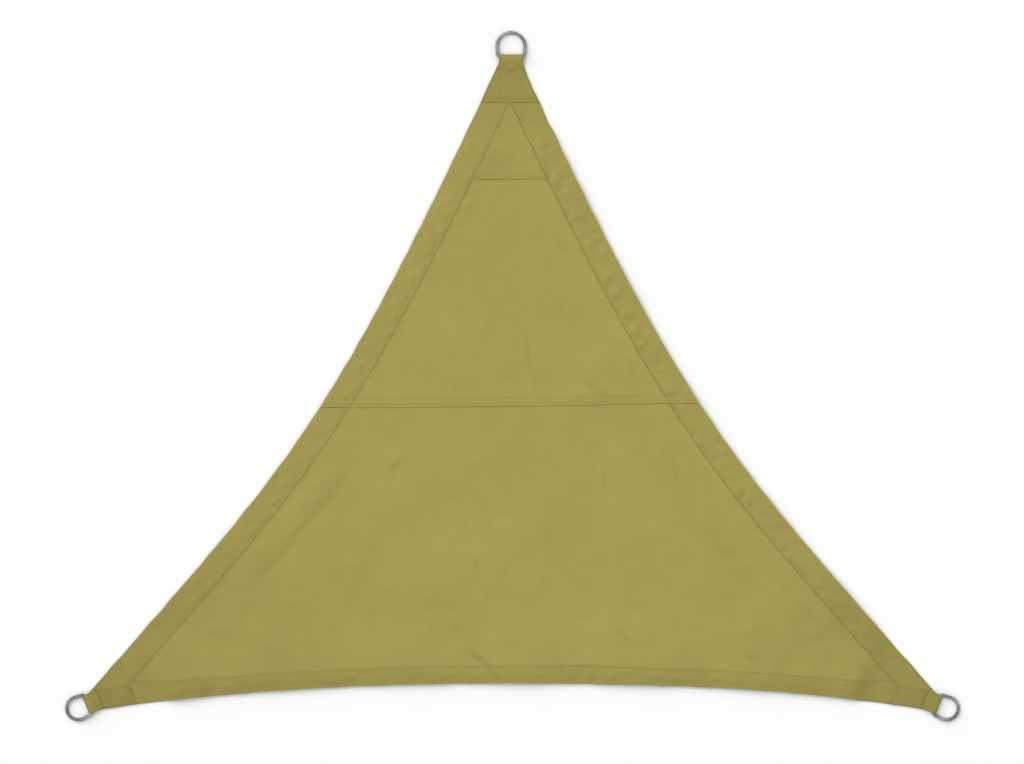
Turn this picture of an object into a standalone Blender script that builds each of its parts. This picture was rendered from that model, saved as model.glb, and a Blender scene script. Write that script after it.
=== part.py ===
"""Triangular shade sail of two cloth panels, with a tip patch, three folded corner caps and three D-rings.

The sail lies face up on a surface at z = 0, seen from above with its top corner towards +Y. The origin is the
middle of its footprint, on that surface. All sizes are in metres, and all angles in degrees.
"""

import math

import bpy
import numpy as np

# Cloth
CLOTH = 0.0012  # one layer
HEM = 0.0027  # a turned hem, its two layers pressed together
PATCH = 0.0010  # the tip patch
GAP = 0.0003  # air between two pieces that lie on each other

# The two long sides: one curve each, mirrored about a middle line that leans a little to the left
TIP_MIDDLE_X = -0.0038
FOOT_MIDDLE_X = -0.0006
SIDE_TOP = {"half": 0.0320, "y": 0.6075, "angle": 25.0, "handle": 0.790}
SIDE_FOOT = {"half": 0.8110, "y": -0.5925, "angle": 41.0, "handle": 0.541}
SIDE_RUN_ON = 0.16  # straight length past both ends of a side's curve
SIDE_STEPS = 160
SIDE_HEM_TOP = 0.0535  # width of the side hems at the top, and at the foot
SIDE_HEM_FOOT = 0.0490

# The bottom edge, which rises towards the middle
BOTTOM_MIDDLE_Y = -0.6156
BOTTOM_DROP = 0.0482
BOTTOM_HALF = 0.800
BOTTOM_POWER = 2.24
BOTTOM_REACH = 0.90
BOTTOM_HEM = 0.0345  # width of the bottom hem in the middle
BOTTOM_HEM_FLARE = 0.0085  # how much wider it gets towards the corners
BOTTOM_FLARE_POWER = 5

# The lap seam between the two panels: the upper panel's lower edge, which climbs a little to the right
SEAM_MIDDLE_Y = -0.0603
SEAM_CLIMB = 0.0127
SEAM_BOW = 0.018
LAP = 0.0200
LAP_RAMP = 0.0110  # over this length the upper panel comes down off the lower one

# The tip patch
PATCH_Y = 0.3937  # its lower edge
PATCH_TOP_HALF = 0.008  # half its width where it ends under the cap's edge

# Corner caps: the strip is folded over the ring's bar, and each end is sewn to one face of the sail's tip
CAP_LENGTH = 0.0960  # from the fold to the strip's ends
CAP_STITCH = 0.0300  # from the fold to the row that closes the loop
LOOP_SOFTNESS = 0.0018  # rounds the change from the loop's straight edge to the sail's edge
LOOP_PINCH = 0.0026  # the loop is this much narrower on each side where it passes through the ring
TIP_END = 0.0200  # from the fold to the blunt end of the sail's tip, inside the cap

# D-rings: a bow of round wire closed by a straight bar
WIRE = 0.0030  # radius across the wire's flats
WIRE_SIDES = 12
WIRE_ROOM = 0.0006  # between the bar and the cloth round it
RING_CORNER = 0.0060  # radius of the bend between the bar and the bow's ends
RING_LEAN = 5.0  # the bow's two ends lean in towards the bar by this much
RING_CROWN_Z = 0.00303  # height of the wire's middle at the bow's crown, which rests on the surface
BOW_STEPS = 25
CORNER_STEPS = 4

# Heights and places that follow from those sizes
TIP_RISE = CLOTH + GAP  # the sail's tips lie on the lower ends of the caps
CAP_TOP = TIP_RISE + HEM + GAP  # inner face of a cap's upper layer, where it lies on the sail
WRAP_INNER = WIRE + WIRE_ROOM  # radius of the cap's inner face round the bar
WRAP_OUTER = WRAP_INNER + CLOTH  # and of its outer face
BAR_A = WRAP_OUTER  # the bar's axis, from the fold
BAR_Z = WRAP_OUTER  # and over the surface

# Each corner: where the cap's fold is, which way the sail lies from it, half the loop's width, the radius of
# the ring's bow, the distance from its bar to the bow's centre, and how far the ring has slid along its bar
CORNERS = {
    "top": {
        "fold": (-0.0026, 0.6435), "into": -90.0, "loop": 0.0240,
        "bow": 0.0280, "rise": 0.0204, "slide": -0.0003,
    },
    "left": {
        "fold": (-0.8532, -0.6577), "into": 21.5, "loop": 0.0190,
        "bow": 0.0230, "rise": 0.0212, "slide": -0.0002,
    },
    "right": {
        "fold": (0.8532, -0.6577), "into": 158.5, "loop": 0.0190,
        "bow": 0.0230, "rise": 0.0212, "slide": 0.0002,
    },
}

# How the cloth lies
TIP_LEVEL = 0.038  # past a cap the cloth stays at the tip's height for this length
TIP_FALL = 0.050  # and over this length it comes down to the surface
EDGE_LIFT = 0.0040  # the stiff hems stand off the surface by up to this much
EDGE_REACH = 0.085  # and the cloth beside them comes down over this distance from the edge
EDGE_WAVE = 0.23  # length of one wave of that lift
EDGE_WAVE_SHARE = 0.30  # share of the lift that comes and goes along the edge
SEAM_CALM = 0.060  # folds fade out this close to the seam

# Soft folds in the cloth: start and end of the crest, half its width, and its height
FOLDS = [
    {"start": (-0.330, -0.150), "end": (-0.690, -0.560), "half_width": 0.050, "height": 0.0034},
    {"start": (0.385, -0.200), "end": (0.640, -0.500), "half_width": 0.050, "height": 0.0030},
    {"start": (-0.100, -0.560), "end": (-0.030, -0.440), "half_width": 0.045, "height": 0.0022},
    {"start": (0.235, -0.480), "end": (0.205, -0.170), "half_width": 0.055, "height": 0.0026},
    {"start": (-0.215, -0.330), "end": (0.020, -0.380), "half_width": 0.060, "height": 0.0018},
    {"start": (0.050, 0.180), "end": (0.065, -0.010), "half_width": 0.040, "height": 0.0020},
    {"start": (-0.085, 0.230), "end": (-0.180, 0.030), "half_width": 0.045, "height": 0.0022},
    {"start": (-0.420, -0.560), "end": (-0.250, -0.500), "half_width": 0.050, "height": 0.0018},
]

# How finely each piece is divided
STEP_WIDTH = 0.0006  # width of the step down from a hem to one layer
HEM_COLUMNS = 3  # columns of each side hem in a panel's row
NODE_HALF = 0.005  # narrowest half width of the field where the two side hems meet
UPPER_ROWS = 18
UPPER_TIP_ROWS = 4
UPPER_FIELD = 16
LOWER_ROWS = 17
LOWER_FIELD = 30
TIP_STEPS = 17  # of a panel's edge inside a cap
PATCH_ROWS = 7
PATCH_COLUMNS = 7
CAP_COLUMNS = 7
CAP_WRAP_STEPS = 9
CAP_UNDER_STEPS = (0.072, 0.048, 0.024, 0.012)  # places along a cap's lower layer, from the fold
CAP_LOOP_STEPS = (0.009, 0.013, 0.017, 0.021, 0.025)  # and along the slope from the loop down to the stitches
CAP_OVER_STEPS = (0.048, 0.072)  # and along its upper layer
FINE_STEPS = 8 * SIDE_STEPS  # of an edge, when the nearest point on it is looked for

OLIVE = (0.385, 0.330, 0.090)
STEEL = (0.560, 0.570, 0.580)


def clear_scene():
    for thing in list(bpy.data.objects):
        bpy.data.objects.remove(thing, do_unlink=True)


def make_material(name, colour, roughness, metallic):
    material = bpy.data.materials.new(name)
    material.use_nodes = True
    shader = material.node_tree.nodes["Principled BSDF"]
    shader.inputs["Base Color"].default_value = (*colour, 1.0)
    shader.inputs["Roughness"].default_value = roughness
    shader.inputs["Metallic"].default_value = metallic
    return material


def add_object(name, points, faces, material, smooth=False):
    mesh = bpy.data.meshes.new(name)
    mesh.from_pydata([tuple(p) for p in points], [], faces)
    mesh.materials.append(material)
    if smooth:
        mesh.shade_smooth()
        mesh.set_sharp_from_angle(angle=math.radians(40.0))
    built = bpy.data.objects.new(name, mesh)
    bpy.context.collection.objects.link(built)
    return built


def ease(share):
    """A smooth step from 0 to 1."""
    share = np.clip(share, 0.0, 1.0)
    return share * share * (3.0 - 2.0 * share)


def soft_max(first, second, softness):
    return 0.5 * (first + second + np.sqrt((first - second) ** 2 + softness**2))


# Outline curves, seen from above


def down_and_out(angle, sign):
    """The direction that leans out from straight down by the given angle."""
    lean = math.radians(angle)
    return np.array([sign * math.sin(lean), -math.cos(lean)])


def side_curve(sign):
    """Points down one side, from above the top corner to past the foot. sign is -1 for the left side."""
    down_top = down_and_out(SIDE_TOP["angle"], sign)
    down_foot = down_and_out(SIDE_FOOT["angle"], sign)
    start = np.array([TIP_MIDDLE_X + sign * SIDE_TOP["half"], SIDE_TOP["y"]])
    end = np.array([FOOT_MIDDLE_X + sign * SIDE_FOOT["half"], SIDE_FOOT["y"]])
    handle_1 = start + SIDE_TOP["handle"] * down_top
    handle_2 = end - SIDE_FOOT["handle"] * down_foot
    t = np.linspace(0.0, 1.0, SIDE_STEPS + 1)[:, None]
    bend = (
        (1 - t) ** 3 * start
        + 3 * (1 - t) ** 2 * t * handle_1
        + 3 * (1 - t) * t**2 * handle_2
        + t**3 * end
    )
    return np.vstack([start - SIDE_RUN_ON * down_top, bend, end + SIDE_RUN_ON * down_foot])


def hem_curve(sign):
    """The inner edge of a side hem: the side's curve moved inwards by the hem's width."""
    side = side_curve(sign)
    along = np.gradient(side, axis=0)
    along /= np.linalg.norm(along, axis=1)[:, None]
    inwards = sign * np.stack([along[:, 1], -along[:, 0]], axis=1)
    share = np.linspace(0.0, 1.0, len(side))[:, None]
    return side + inwards * (SIDE_HEM_TOP + (SIDE_HEM_FOOT - SIDE_HEM_TOP) * share)


def bottom_y(x):
    return BOTTOM_MIDDLE_Y - BOTTOM_DROP * (np.abs(x) / BOTTOM_HALF) ** BOTTOM_POWER


def bottom_hem_y(x):
    flare = BOTTOM_HEM_FLARE * (np.abs(x) / BOTTOM_HALF) ** BOTTOM_FLARE_POWER
    return bottom_y(x) + BOTTOM_HEM + flare


def bottom_curve():
    x = np.linspace(-BOTTOM_REACH, BOTTOM_REACH, SIDE_STEPS + 1)
    return np.stack([x, bottom_y(x)], axis=1)


def seam_y(x):
    return SEAM_MIDDLE_Y + SEAM_CLIMB * x + SEAM_BOW * x**2


def crossing(curve, height_at):
    """Where a curve that runs down first passes below the line y = height_at(x)."""
    above = curve[:, 1] - height_at(curve[:, 0])
    i = int(np.argmax(above <= 0.0))
    share = above[i - 1] / (above[i - 1] - above[i])
    x = curve[i - 1, 0] + share * (curve[i, 0] - curve[i - 1, 0])
    return x, float(height_at(x))


def x_on_curve(curve, y):
    return float(np.interp(y, curve[::-1, 1], curve[::-1, 0]))


# Corner frames: a runs from the cap's fold into the sail, and b across, to the left of that


def corner_axes(corner):
    angle = math.radians(corner["into"])
    return np.array([math.cos(angle), math.sin(angle)]), np.array([-math.sin(angle), math.cos(angle)])


def to_corner(corner, points):
    into, across = corner_axes(corner)
    offset = points - np.array(corner["fold"])
    return offset @ into, offset @ across


def from_corner(corner, a, b):
    into, across = corner_axes(corner)
    return np.array(corner["fold"]) + a * into + b * across


def corner_edges(name):
    """The two edges of the sail that meet at a corner: first on the +b side, then on the -b side."""
    left, right, bottom = side_curve(-1), side_curve(1), bottom_curve()
    return {"top": (right, left), "left": (left, bottom), "right": (bottom, right)}[name]


def cap_edge(name, a, sign):
    """b of a cap's edge: the loop's own width near the fold, then the edge of the sail."""
    corner = CORNERS[name]
    curve_a, curve_b = to_corner(corner, corner_edges(name)[0 if sign > 0 else 1])
    order = np.argsort(curve_a)
    sail_edge = sign * np.interp(a, curve_a[order], curve_b[order])
    return sign * soft_max(sail_edge, corner["loop"], LOOP_SOFTNESS)


def panel_outline(sign):
    """One side of the sail without its caps, from its blunt top end down to the blunt end at the foot."""
    foot = "left" if sign < 0 else "right"
    side = side_curve(sign)
    a_top, _ = to_corner(CORNERS["top"], side)
    a_foot, _ = to_corner(CORNERS[foot], side)
    cap_steps = np.linspace(0.0, CAP_LENGTH, TIP_STEPS)
    top = [from_corner(CORNERS["top"], a, cap_edge("top", a, sign)) for a in cap_steps]
    foot_steps = np.linspace(CAP_LENGTH, TIP_END, TIP_STEPS)
    low = [from_corner(CORNERS[foot], a, cap_edge(foot, a, -sign)) for a in foot_steps]
    past = from_corner(CORNERS[foot], TIP_END, sign * 3.0 * CORNERS[foot]["loop"])
    return np.vstack([top, side[(a_top > CAP_LENGTH) & (a_foot > CAP_LENGTH)], low, past])


# How high the cloth lies over the surface


def corner_closeness(points, reach):
    """1 inside a cap and just past it, falling to 0 over the given distance."""
    closeness = np.zeros(len(points))
    for corner in CORNERS.values():
        a, _ = to_corner(corner, points)
        closeness = np.maximum(closeness, 1.0 - ease((a - CAP_LENGTH - TIP_LEVEL) / reach))
    return closeness


def edge_lift(points):
    """The rise of the hems, in long low waves along each edge."""
    lift = np.zeros(len(points))
    for curve in (side_curve(-1), side_curve(1), bottom_curve()):
        run = np.concatenate([[0.0], np.cumsum(np.linalg.norm(np.diff(curve, axis=0), axis=1))])
        fine_run = np.linspace(0.0, run[-1], FINE_STEPS)
        fine = np.stack([np.interp(fine_run, run, curve[:, i]) for i in (0, 1)], axis=1)
        distance = np.linalg.norm(points[:, None, :] - fine[None, :, :], axis=2)
        nearest = np.argmin(distance, axis=1)
        wave = 1.0 - EDGE_WAVE_SHARE * (1.0 - np.cos(2.0 * math.pi * fine_run[nearest] / EDGE_WAVE))
        here = EDGE_LIFT * wave * (1.0 - ease(distance.min(axis=1) / EDGE_REACH))
        lift = np.maximum(lift, here)
    return lift


def fold_lift(points):
    """The soft folds, each a low rounded crest that dies out at both ends."""
    lift = np.zeros(len(points))
    for fold in FOLDS:
        start, end = np.array(fold["start"]), np.array(fold["end"])
        run = end - start
        share = np.clip((points - start) @ run / (run @ run), 0.0, 1.0)
        distance = np.linalg.norm(points - start - share[:, None] * run, axis=1)
        crest = np.sin(math.pi * np.clip(share, 0.02, 0.98)) ** 0.7
        lift = np.maximum(lift, fold["height"] * crest * (1.0 - ease(distance / fold["half_width"])))
    calm = ease((np.abs(points[:, 1] - seam_y(points[:, 0])) - LAP) / SEAM_CALM)
    return lift * calm


def underside(points):
    """Height of the cloth's lower face at each point of an (n, 2) array."""
    near = corner_closeness(points, TIP_FALL)
    return TIP_RISE * near + (edge_lift(points) + fold_lift(points)) * (1.0 - near)


# Sheets


def sheet_solid(name, plan, bottom, top, material):
    """A closed sheet from a grid of plan points, (rows, columns, 2), and the heights of its two faces."""
    rows, columns = bottom.shape
    low = np.concatenate([plan, bottom[..., None]], axis=2).reshape(-1, 3)
    high = np.concatenate([plan, top[..., None]], axis=2).reshape(-1, 3)
    count = rows * columns
    faces = []
    for r in range(rows - 1):
        for c in range(columns - 1):
            a, b = r * columns + c, r * columns + c + 1
            d, e = a + columns, b + columns
            faces.append((a, d, e, b))
            faces.append((count + a, count + b, count + e, count + d))
    rim = list(range(columns))
    rim += [r * columns + columns - 1 for r in range(1, rows)]
    rim += [(rows - 1) * columns + c for c in range(columns - 2, -1, -1)]
    rim += [r * columns for r in range(rows - 2, 0, -1)]
    for here, after in zip(rim, rim[1:] + rim[:1]):
        faces.append((here, after, count + after, count + here))
    return add_object(name, np.vstack([low, high]), faces, material)


def row_columns(left_edge, left_hem, right_hem, right_edge, field_steps):
    """x of one row's points: a hem's edge, middle and inner edge, then a narrow step to the field."""
    step = STEP_WIDTH
    left = [left_edge, 0.5 * (left_edge + left_hem), left_hem]
    field = np.linspace(left_hem + step, right_hem - step, field_steps + 1)
    right = [right_hem, 0.5 * (right_hem + right_edge), right_edge]
    return np.array([*left, *field, *right])


def hem_thickness(columns):
    thick = np.full(columns, CLOTH)
    thick[:HEM_COLUMNS] = HEM
    thick[-HEM_COLUMNS:] = HEM
    return thick


def panel_grid(lines, field_steps):
    """Plan points of a panel, one row along each line y = f(x), from hem edge to hem edge."""
    outlines = [panel_outline(-1), panel_outline(1)]
    hems = [hem_curve(-1), hem_curve(1)]
    plan = []
    for line in lines:
        edges = [crossing(outline, line)[0] for outline in outlines]
        inner = [crossing(hem, line)[0] for hem in hems]
        middle = 0.5 * (inner[0] + inner[1])
        half = max(0.5 * (inner[1] - inner[0]), NODE_HALF)
        x = row_columns(edges[0], middle - half, middle + half, edges[1], field_steps)
        plan.append(np.stack([x, line(x)], axis=1))
    return np.array(plan)


def between(low, high, share):
    """The line that lies a given share of the way from one line to another."""
    return lambda x: (1.0 - share) * low(x) + share * high(x)


def shifted(line, rise):
    return lambda x: line(x) + rise


def level(y):
    return lambda x: y + 0.0 * np.asarray(x, dtype=float)


def build_upper_panel(material):
    tip_y = CORNERS["top"]["fold"][1]
    meet_y = tip_y - CAP_LENGTH - 2.0 * STEP_WIDTH  # the side hems meet here, at the cap's lower edge
    over_lap = LAP + 2.0 * STEP_WIDTH  # this much of the panel lies on the lower one
    field_start = shifted(seam_y, over_lap + LAP_RAMP)
    lines = [seam_y, shifted(seam_y, 0.5 * LAP), shifted(seam_y, over_lap)]
    lines += [between(field_start, level(meet_y), share) for share in np.linspace(0.0, 1.0, UPPER_ROWS)]
    hemmed_lines = [level(y) for y in np.linspace(meet_y + STEP_WIDTH, tip_y - TIP_END, UPPER_TIP_ROWS)]
    plan = panel_grid(lines + hemmed_lines, UPPER_FIELD)
    columns = plan.shape[1]
    thickness = [hem_thickness(columns)] * len(lines) + [np.full(columns, HEM)] * len(hemmed_lines)
    flat = plan.reshape(-1, 2)
    on_lap = 1.0 - ease((flat[:, 1] - seam_y(flat[:, 0]) - over_lap) / LAP_RAMP)
    bottom = (underside(flat) + (CLOTH + GAP) * on_lap).reshape(plan.shape[:2])
    return sheet_solid("panel_upper", plan, bottom, bottom + np.array(thickness), material)


def build_lower_panel(material):
    hem_top = shifted(bottom_hem_y, STEP_WIDTH)
    field_start = shifted(seam_y, -2.0 * STEP_WIDTH)
    hemmed_lines = [between(bottom_y, bottom_hem_y, share) for share in (0.0, 0.5, 1.0)]
    field_lines = [between(hem_top, field_start, share) for share in np.linspace(0.0, 1.0, LOWER_ROWS)]
    lap_lines = [shifted(seam_y, rise) for rise in (-STEP_WIDTH, 0.5 * LAP, LAP)]
    plan = panel_grid(hemmed_lines + field_lines + lap_lines, LOWER_FIELD)
    columns = plan.shape[1]
    thickness = [np.full(columns, HEM)] * len(hemmed_lines)
    thickness += [hem_thickness(columns)] * len(field_lines)
    thickness += [np.full(columns, CLOTH)] * len(lap_lines)
    bottom = underside(plan.reshape(-1, 2)).reshape(plan.shape[:2])
    return sheet_solid("panel_lower", plan, bottom, bottom + np.array(thickness), material)


def build_tip_patch(material):
    """The patch fills the space between the side hems, as deep as it is tucked under them."""
    hems = [hem_curve(-1), hem_curve(1)]
    clear = STEP_WIDTH + GAP
    heights = np.linspace(PATCH_Y, CORNERS["top"]["fold"][1] - CAP_LENGTH, SIDE_STEPS)
    inner = np.array([[x_on_curve(hem, y) for hem in hems] for y in heights])
    half = 0.5 * (inner[:, 1] - inner[:, 0]) - clear
    top_y = float(np.interp(-PATCH_TOP_HALF, -half, heights))
    plan = []
    for y in np.linspace(PATCH_Y, top_y, PATCH_ROWS):
        left, right = (x_on_curve(hem, y) for hem in hems)
        x = np.linspace(left + clear, right - clear, PATCH_COLUMNS)
        plan.append(np.stack([x, np.full(len(x), y)], axis=1))
    plan = np.array(plan)
    low = underside(plan.reshape(-1, 2)).reshape(plan.shape[:2]) + CLOTH + GAP
    return sheet_solid("tip_patch", plan, low, low + PATCH, material)


# Corner caps and rings


def cap_stations():
    """Stations along a cap's strip, from its lower end round the bar to its upper end.

    Each has a for its inner and outer face, the two heights, and how far the loop is pinched there.
    """
    stations = [(a, a, CLOTH, 0.0, 0.0) for a in (CAP_LENGTH, *CAP_UNDER_STEPS)]
    for angle in np.linspace(-0.5 * math.pi, 0.5 * math.pi, CAP_WRAP_STEPS):
        back, up = math.cos(angle), math.sin(angle)
        inner = (BAR_A - WRAP_INNER * back, BAR_Z + WRAP_INNER * up)
        outer = (BAR_A - WRAP_OUTER * back, BAR_Z + WRAP_OUTER * up)
        stations.append((inner[0], outer[0], inner[1], outer[1], LOOP_PINCH * back**2))
    crown = BAR_Z + WRAP_INNER
    for a in (*CAP_LOOP_STEPS, CAP_STITCH, *CAP_OVER_STEPS, CAP_LENGTH):
        height = crown + (CAP_TOP - crown) * float(ease((a - BAR_A) / (CAP_STITCH - BAR_A)))
        stations.append((a, a, height, height + CLOTH, 0.0))
    return stations


def build_cap(name, material):
    corner = CORNERS[name]
    shares = np.linspace(0.0, 1.0, CAP_COLUMNS)
    inner_face, outer_face = [], []
    for a_in, a_out, z_in, z_out, pinch in cap_stations():
        edge_a = max(a_in, BAR_A)
        low_b = cap_edge(name, edge_a, -1) + pinch
        high_b = cap_edge(name, edge_a, 1) - pinch
        for b in low_b + shares * (high_b - low_b):
            inner_face.append((*from_corner(corner, a_in, b), z_in))
            outer_face.append((*from_corner(corner, a_out, b), z_out))
    count = len(inner_face)
    rows = count // CAP_COLUMNS
    last = CAP_COLUMNS - 1
    faces = []
    for r in range(rows - 1):
        here, after = r * CAP_COLUMNS, (r + 1) * CAP_COLUMNS
        for c in range(last):
            faces.append((here + c, here + c + 1, after + c + 1, after + c))
            faces.append((count + here + c, count + after + c, count + after + c + 1, count + here + c + 1))
        faces.append((here, after, count + after, count + here))
        faces.append((count + here + last, count + after + last, after + last, here + last))
    end = (rows - 1) * CAP_COLUMNS
    for c in range(last):
        faces.append((count + c, count + c + 1, c + 1, c))
        faces.append((end + c, end + c + 1, count + end + c + 1, count + end + c))
    return add_object(f"corner_cap_{name}", np.array(inner_face + outer_face), faces, material)


def ring_line(corner):
    """The wire's centre line round a D-ring: u runs across, v outwards from the bar."""
    bow, rise, turn = corner["bow"], corner["rise"], RING_CORNER
    lean = math.radians(RING_LEAN)
    side_at_bar = bow / math.cos(lean) - rise * math.tan(lean)  # where the leaning side would meet the bar
    turn_u = side_at_bar + turn * math.tan(lean) - turn / math.cos(lean)
    half = []
    for angle in np.linspace(-lean, 0.5 * math.pi, BOW_STEPS // 2 + 1)[:-1]:
        half.append((bow * math.cos(angle), rise + bow * math.sin(angle)))
    for angle in np.linspace(-0.5 * math.pi, -lean, CORNER_STEPS + 1)[::-1]:
        half.insert(0, (turn_u + turn * math.cos(angle), turn + turn * math.sin(angle)))
    half = np.array(half)
    other = half[::-1] * np.array([-1.0, 1.0])
    return np.vstack([half, other])


def build_ring(name, material):
    """The bar lies in the cap's loop, and the bow leans down from it until its crown rests on the surface."""
    corner = CORNERS[name]
    into, across = corner_axes(corner)
    drop = math.asin((BAR_Z - RING_CROWN_Z) / (corner["rise"] + corner["bow"]))
    axis_u = np.array([*across, 0.0])
    axis_v = np.array([*(-math.cos(drop) * into), -math.sin(drop)])
    normal = np.cross(axis_u, axis_v)
    bar = np.array([*from_corner(corner, BAR_A, corner["slide"]), BAR_Z])
    line = ring_line(corner)
    ahead = np.roll(line, -1, axis=0) - line
    ahead /= np.linalg.norm(ahead, axis=1)[:, None]
    behind = np.roll(ahead, 1, axis=0)
    along = ahead + behind
    along /= np.linalg.norm(along, axis=1)[:, None]
    stretch = 1.0 / np.sum(along * ahead, axis=1)  # keeps the wire's width in each mitred corner
    outwards = np.stack([along[:, 1], -along[:, 0]], axis=1)
    corner_radius = WIRE / math.cos(math.pi / WIRE_SIDES)
    points, faces = [], []
    for place, out, wide in zip(line, outwards, stretch):
        for side in range(WIRE_SIDES):
            angle = 2.0 * math.pi * (side + 0.5) / WIRE_SIDES
            u, v = place + corner_radius * math.cos(angle) * wide * out
            points.append(bar + u * axis_u + v * axis_v + corner_radius * math.sin(angle) * normal)
    for i in range(len(line)):
        here, after = i * WIRE_SIDES, (i + 1) % len(line) * WIRE_SIDES
        for side in range(WIRE_SIDES):
            turned = (side + 1) % WIRE_SIDES
            faces.append((here + side, after + side, after + turned, here + turned))
    return add_object(f"ring_{name}", np.array(points), faces, material, smooth=True)


def main():
    clear_scene()
    cloth = make_material("olive_cloth", OLIVE, 0.85, 0.0)
    cap_cloth = make_material("olive_cap_cloth", OLIVE, 0.88, 0.0)
    steel = make_material("ring_steel", STEEL, 0.25, 1.0)
    build_upper_panel(cloth)
    build_lower_panel(cloth)
    build_tip_patch(cloth)
    for name in CORNERS:
        build_cap(name, cap_cloth)
        build_ring(name, steel)


main()
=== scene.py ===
import math

import bpy
import numpy as np
from mathutils import Matrix, Vector


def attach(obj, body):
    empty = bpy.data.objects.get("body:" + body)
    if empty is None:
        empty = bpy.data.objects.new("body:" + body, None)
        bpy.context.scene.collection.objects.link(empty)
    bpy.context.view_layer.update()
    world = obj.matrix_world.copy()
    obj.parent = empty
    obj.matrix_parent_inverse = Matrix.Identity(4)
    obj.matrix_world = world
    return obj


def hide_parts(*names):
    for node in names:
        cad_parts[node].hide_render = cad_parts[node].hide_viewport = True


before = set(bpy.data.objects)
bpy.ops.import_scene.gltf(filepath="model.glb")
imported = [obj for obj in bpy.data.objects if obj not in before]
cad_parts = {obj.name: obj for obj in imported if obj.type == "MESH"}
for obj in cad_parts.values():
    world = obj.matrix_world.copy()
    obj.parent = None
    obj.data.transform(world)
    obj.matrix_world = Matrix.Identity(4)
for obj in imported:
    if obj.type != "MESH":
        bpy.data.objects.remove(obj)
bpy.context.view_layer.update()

print("frame loaded, nodes:", ", ".join(sorted(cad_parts)))


def linked(name, data):
    thing = bpy.data.objects.new(name, data)
    bpy.context.collection.objects.link(thing)
    return thing


def give(socket, value):  # a node stands for its first output
    if isinstance(value, bpy.types.Node):
        value = value.outputs[0]
    if isinstance(value, bpy.types.NodeSocket):
        socket.id_data.links.new(value, socket)
    else:
        socket.default_value = value


def nodeTools(tree):  # add makes any node, work makes one that calculates
    def add(kind, settings=None, **inputs):
        node = tree.nodes.new(kind)
        for name, value in (settings or {}).items():
            setattr(node, name, value)
        for name, value in inputs.items():
            give(node.inputs[int(name[1:]) if name[1:].isdigit() else name.replace("_", " ")], value)
        return node

    def work(operation, *values):
        numbered = {f"i{i}": value for i, value in enumerate(values)}
        return add("ShaderNodeMath", {"operation": operation}, **numbered)

    return add, work


# Light, camera and floor

studio = {
    "middle": (-0.0010, -0.0115),  # the picture's centre over the sail
    "height": 14.0, "frameWidth": 2.048, "sensor": 36.0, "clipEnd": 200.0,
    "sunFrom": (-0.72, 0.69),  # the way the light comes from, seen from above
    "sunElevation": 30.0, "sunSpread": 58.0, "sunStrength": 2.02, "sunColour": (1.0, 0.995, 0.988),
    "skyStrength": 0.728,
    # each band's height in the sky and its brightness
    "skyBands": ((0.0, 0.12), (0.12, 0.12), (0.34, 0.20), (0.50, 1.25), (0.93, 1.35), (0.975, 0.45), (1.0, 0.30)),
    "floorColour": (0.93, 0.93, 0.93, 1.0), "floorHalf": 30.0, "floorZ": -0.0002,
}


def setWorld():
    world = bpy.data.worlds.new("studioAir")
    world.use_nodes = True
    world.node_tree.nodes.clear()
    add, _ = nodeTools(world.node_tree)
    height = add("ShaderNodeSeparateXYZ", Vector=add("ShaderNodeTexCoord").outputs["Generated"]).outputs["Z"]
    ramp = add("ShaderNodeValToRGB", Fac=height)
    stops = ramp.color_ramp.elements
    while len(stops) < len(studio["skyBands"]):
        stops.new(1.0)
    for stop, (place, grey) in zip(stops, studio["skyBands"]):
        stop.position = place
        stop.color = (grey, grey, grey, 1.0)
    sky = add("ShaderNodeBackground", Color=ramp, Strength=studio["skyStrength"])
    add("ShaderNodeOutputWorld", Surface=sky)
    bpy.context.scene.world = world


def setSun():
    light = bpy.data.lights.new("softKey", "SUN")
    light.energy = studio["sunStrength"]
    light.angle = math.radians(studio["sunSpread"])
    light.color = studio["sunColour"]
    key = linked("softKey", light)
    key.visible_glossy = False  # the rings mirror the sky alone
    lift = math.radians(studio["sunElevation"])
    x, y = studio["sunFrom"]
    towards = Vector((-x * math.cos(lift), -y * math.cos(lift), -math.sin(lift)))
    key.rotation_euler = towards.to_track_quat("-Z", "Y").to_euler()


def setCamera():
    lens = bpy.data.cameras.new("overhead")
    lens.sensor_width = studio["sensor"]
    lens.lens = studio["sensor"] * studio["height"] / studio["frameWidth"]
    lens.clip_end = studio["clipEnd"]
    overhead = linked("overhead", lens)
    overhead.location = (*studio["middle"], studio["height"])
    bpy.context.scene.camera = overhead


def newMaterial(name, **finish):
    material = bpy.data.materials.new(name)
    material.use_nodes = True
    shader = material.node_tree.nodes["Principled BSDF"]
    for label, value in finish.items():
        shader.inputs[label.replace("_", " ")].default_value = value
    return material, shader, *nodeTools(material.node_tree)


def layFloor():
    half, z = studio["floorHalf"], studio["floorZ"]
    mesh = bpy.data.meshes.new("floor")
    mesh.from_pydata([(-half, -half, z), (half, -half, z), (half, half, z), (-half, half, z)], [], [(0, 1, 2, 3)])
    mesh.materials.append(newMaterial("whitePaper", Base_Color=studio["floorColour"], Roughness=0.9)[0])
    linked("floor", mesh)


setWorld()
setSun()
setCamera()
layFloor()
bpy.context.scene.view_settings.view_transform = "Standard"
print("studio set")

# Materials

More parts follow.
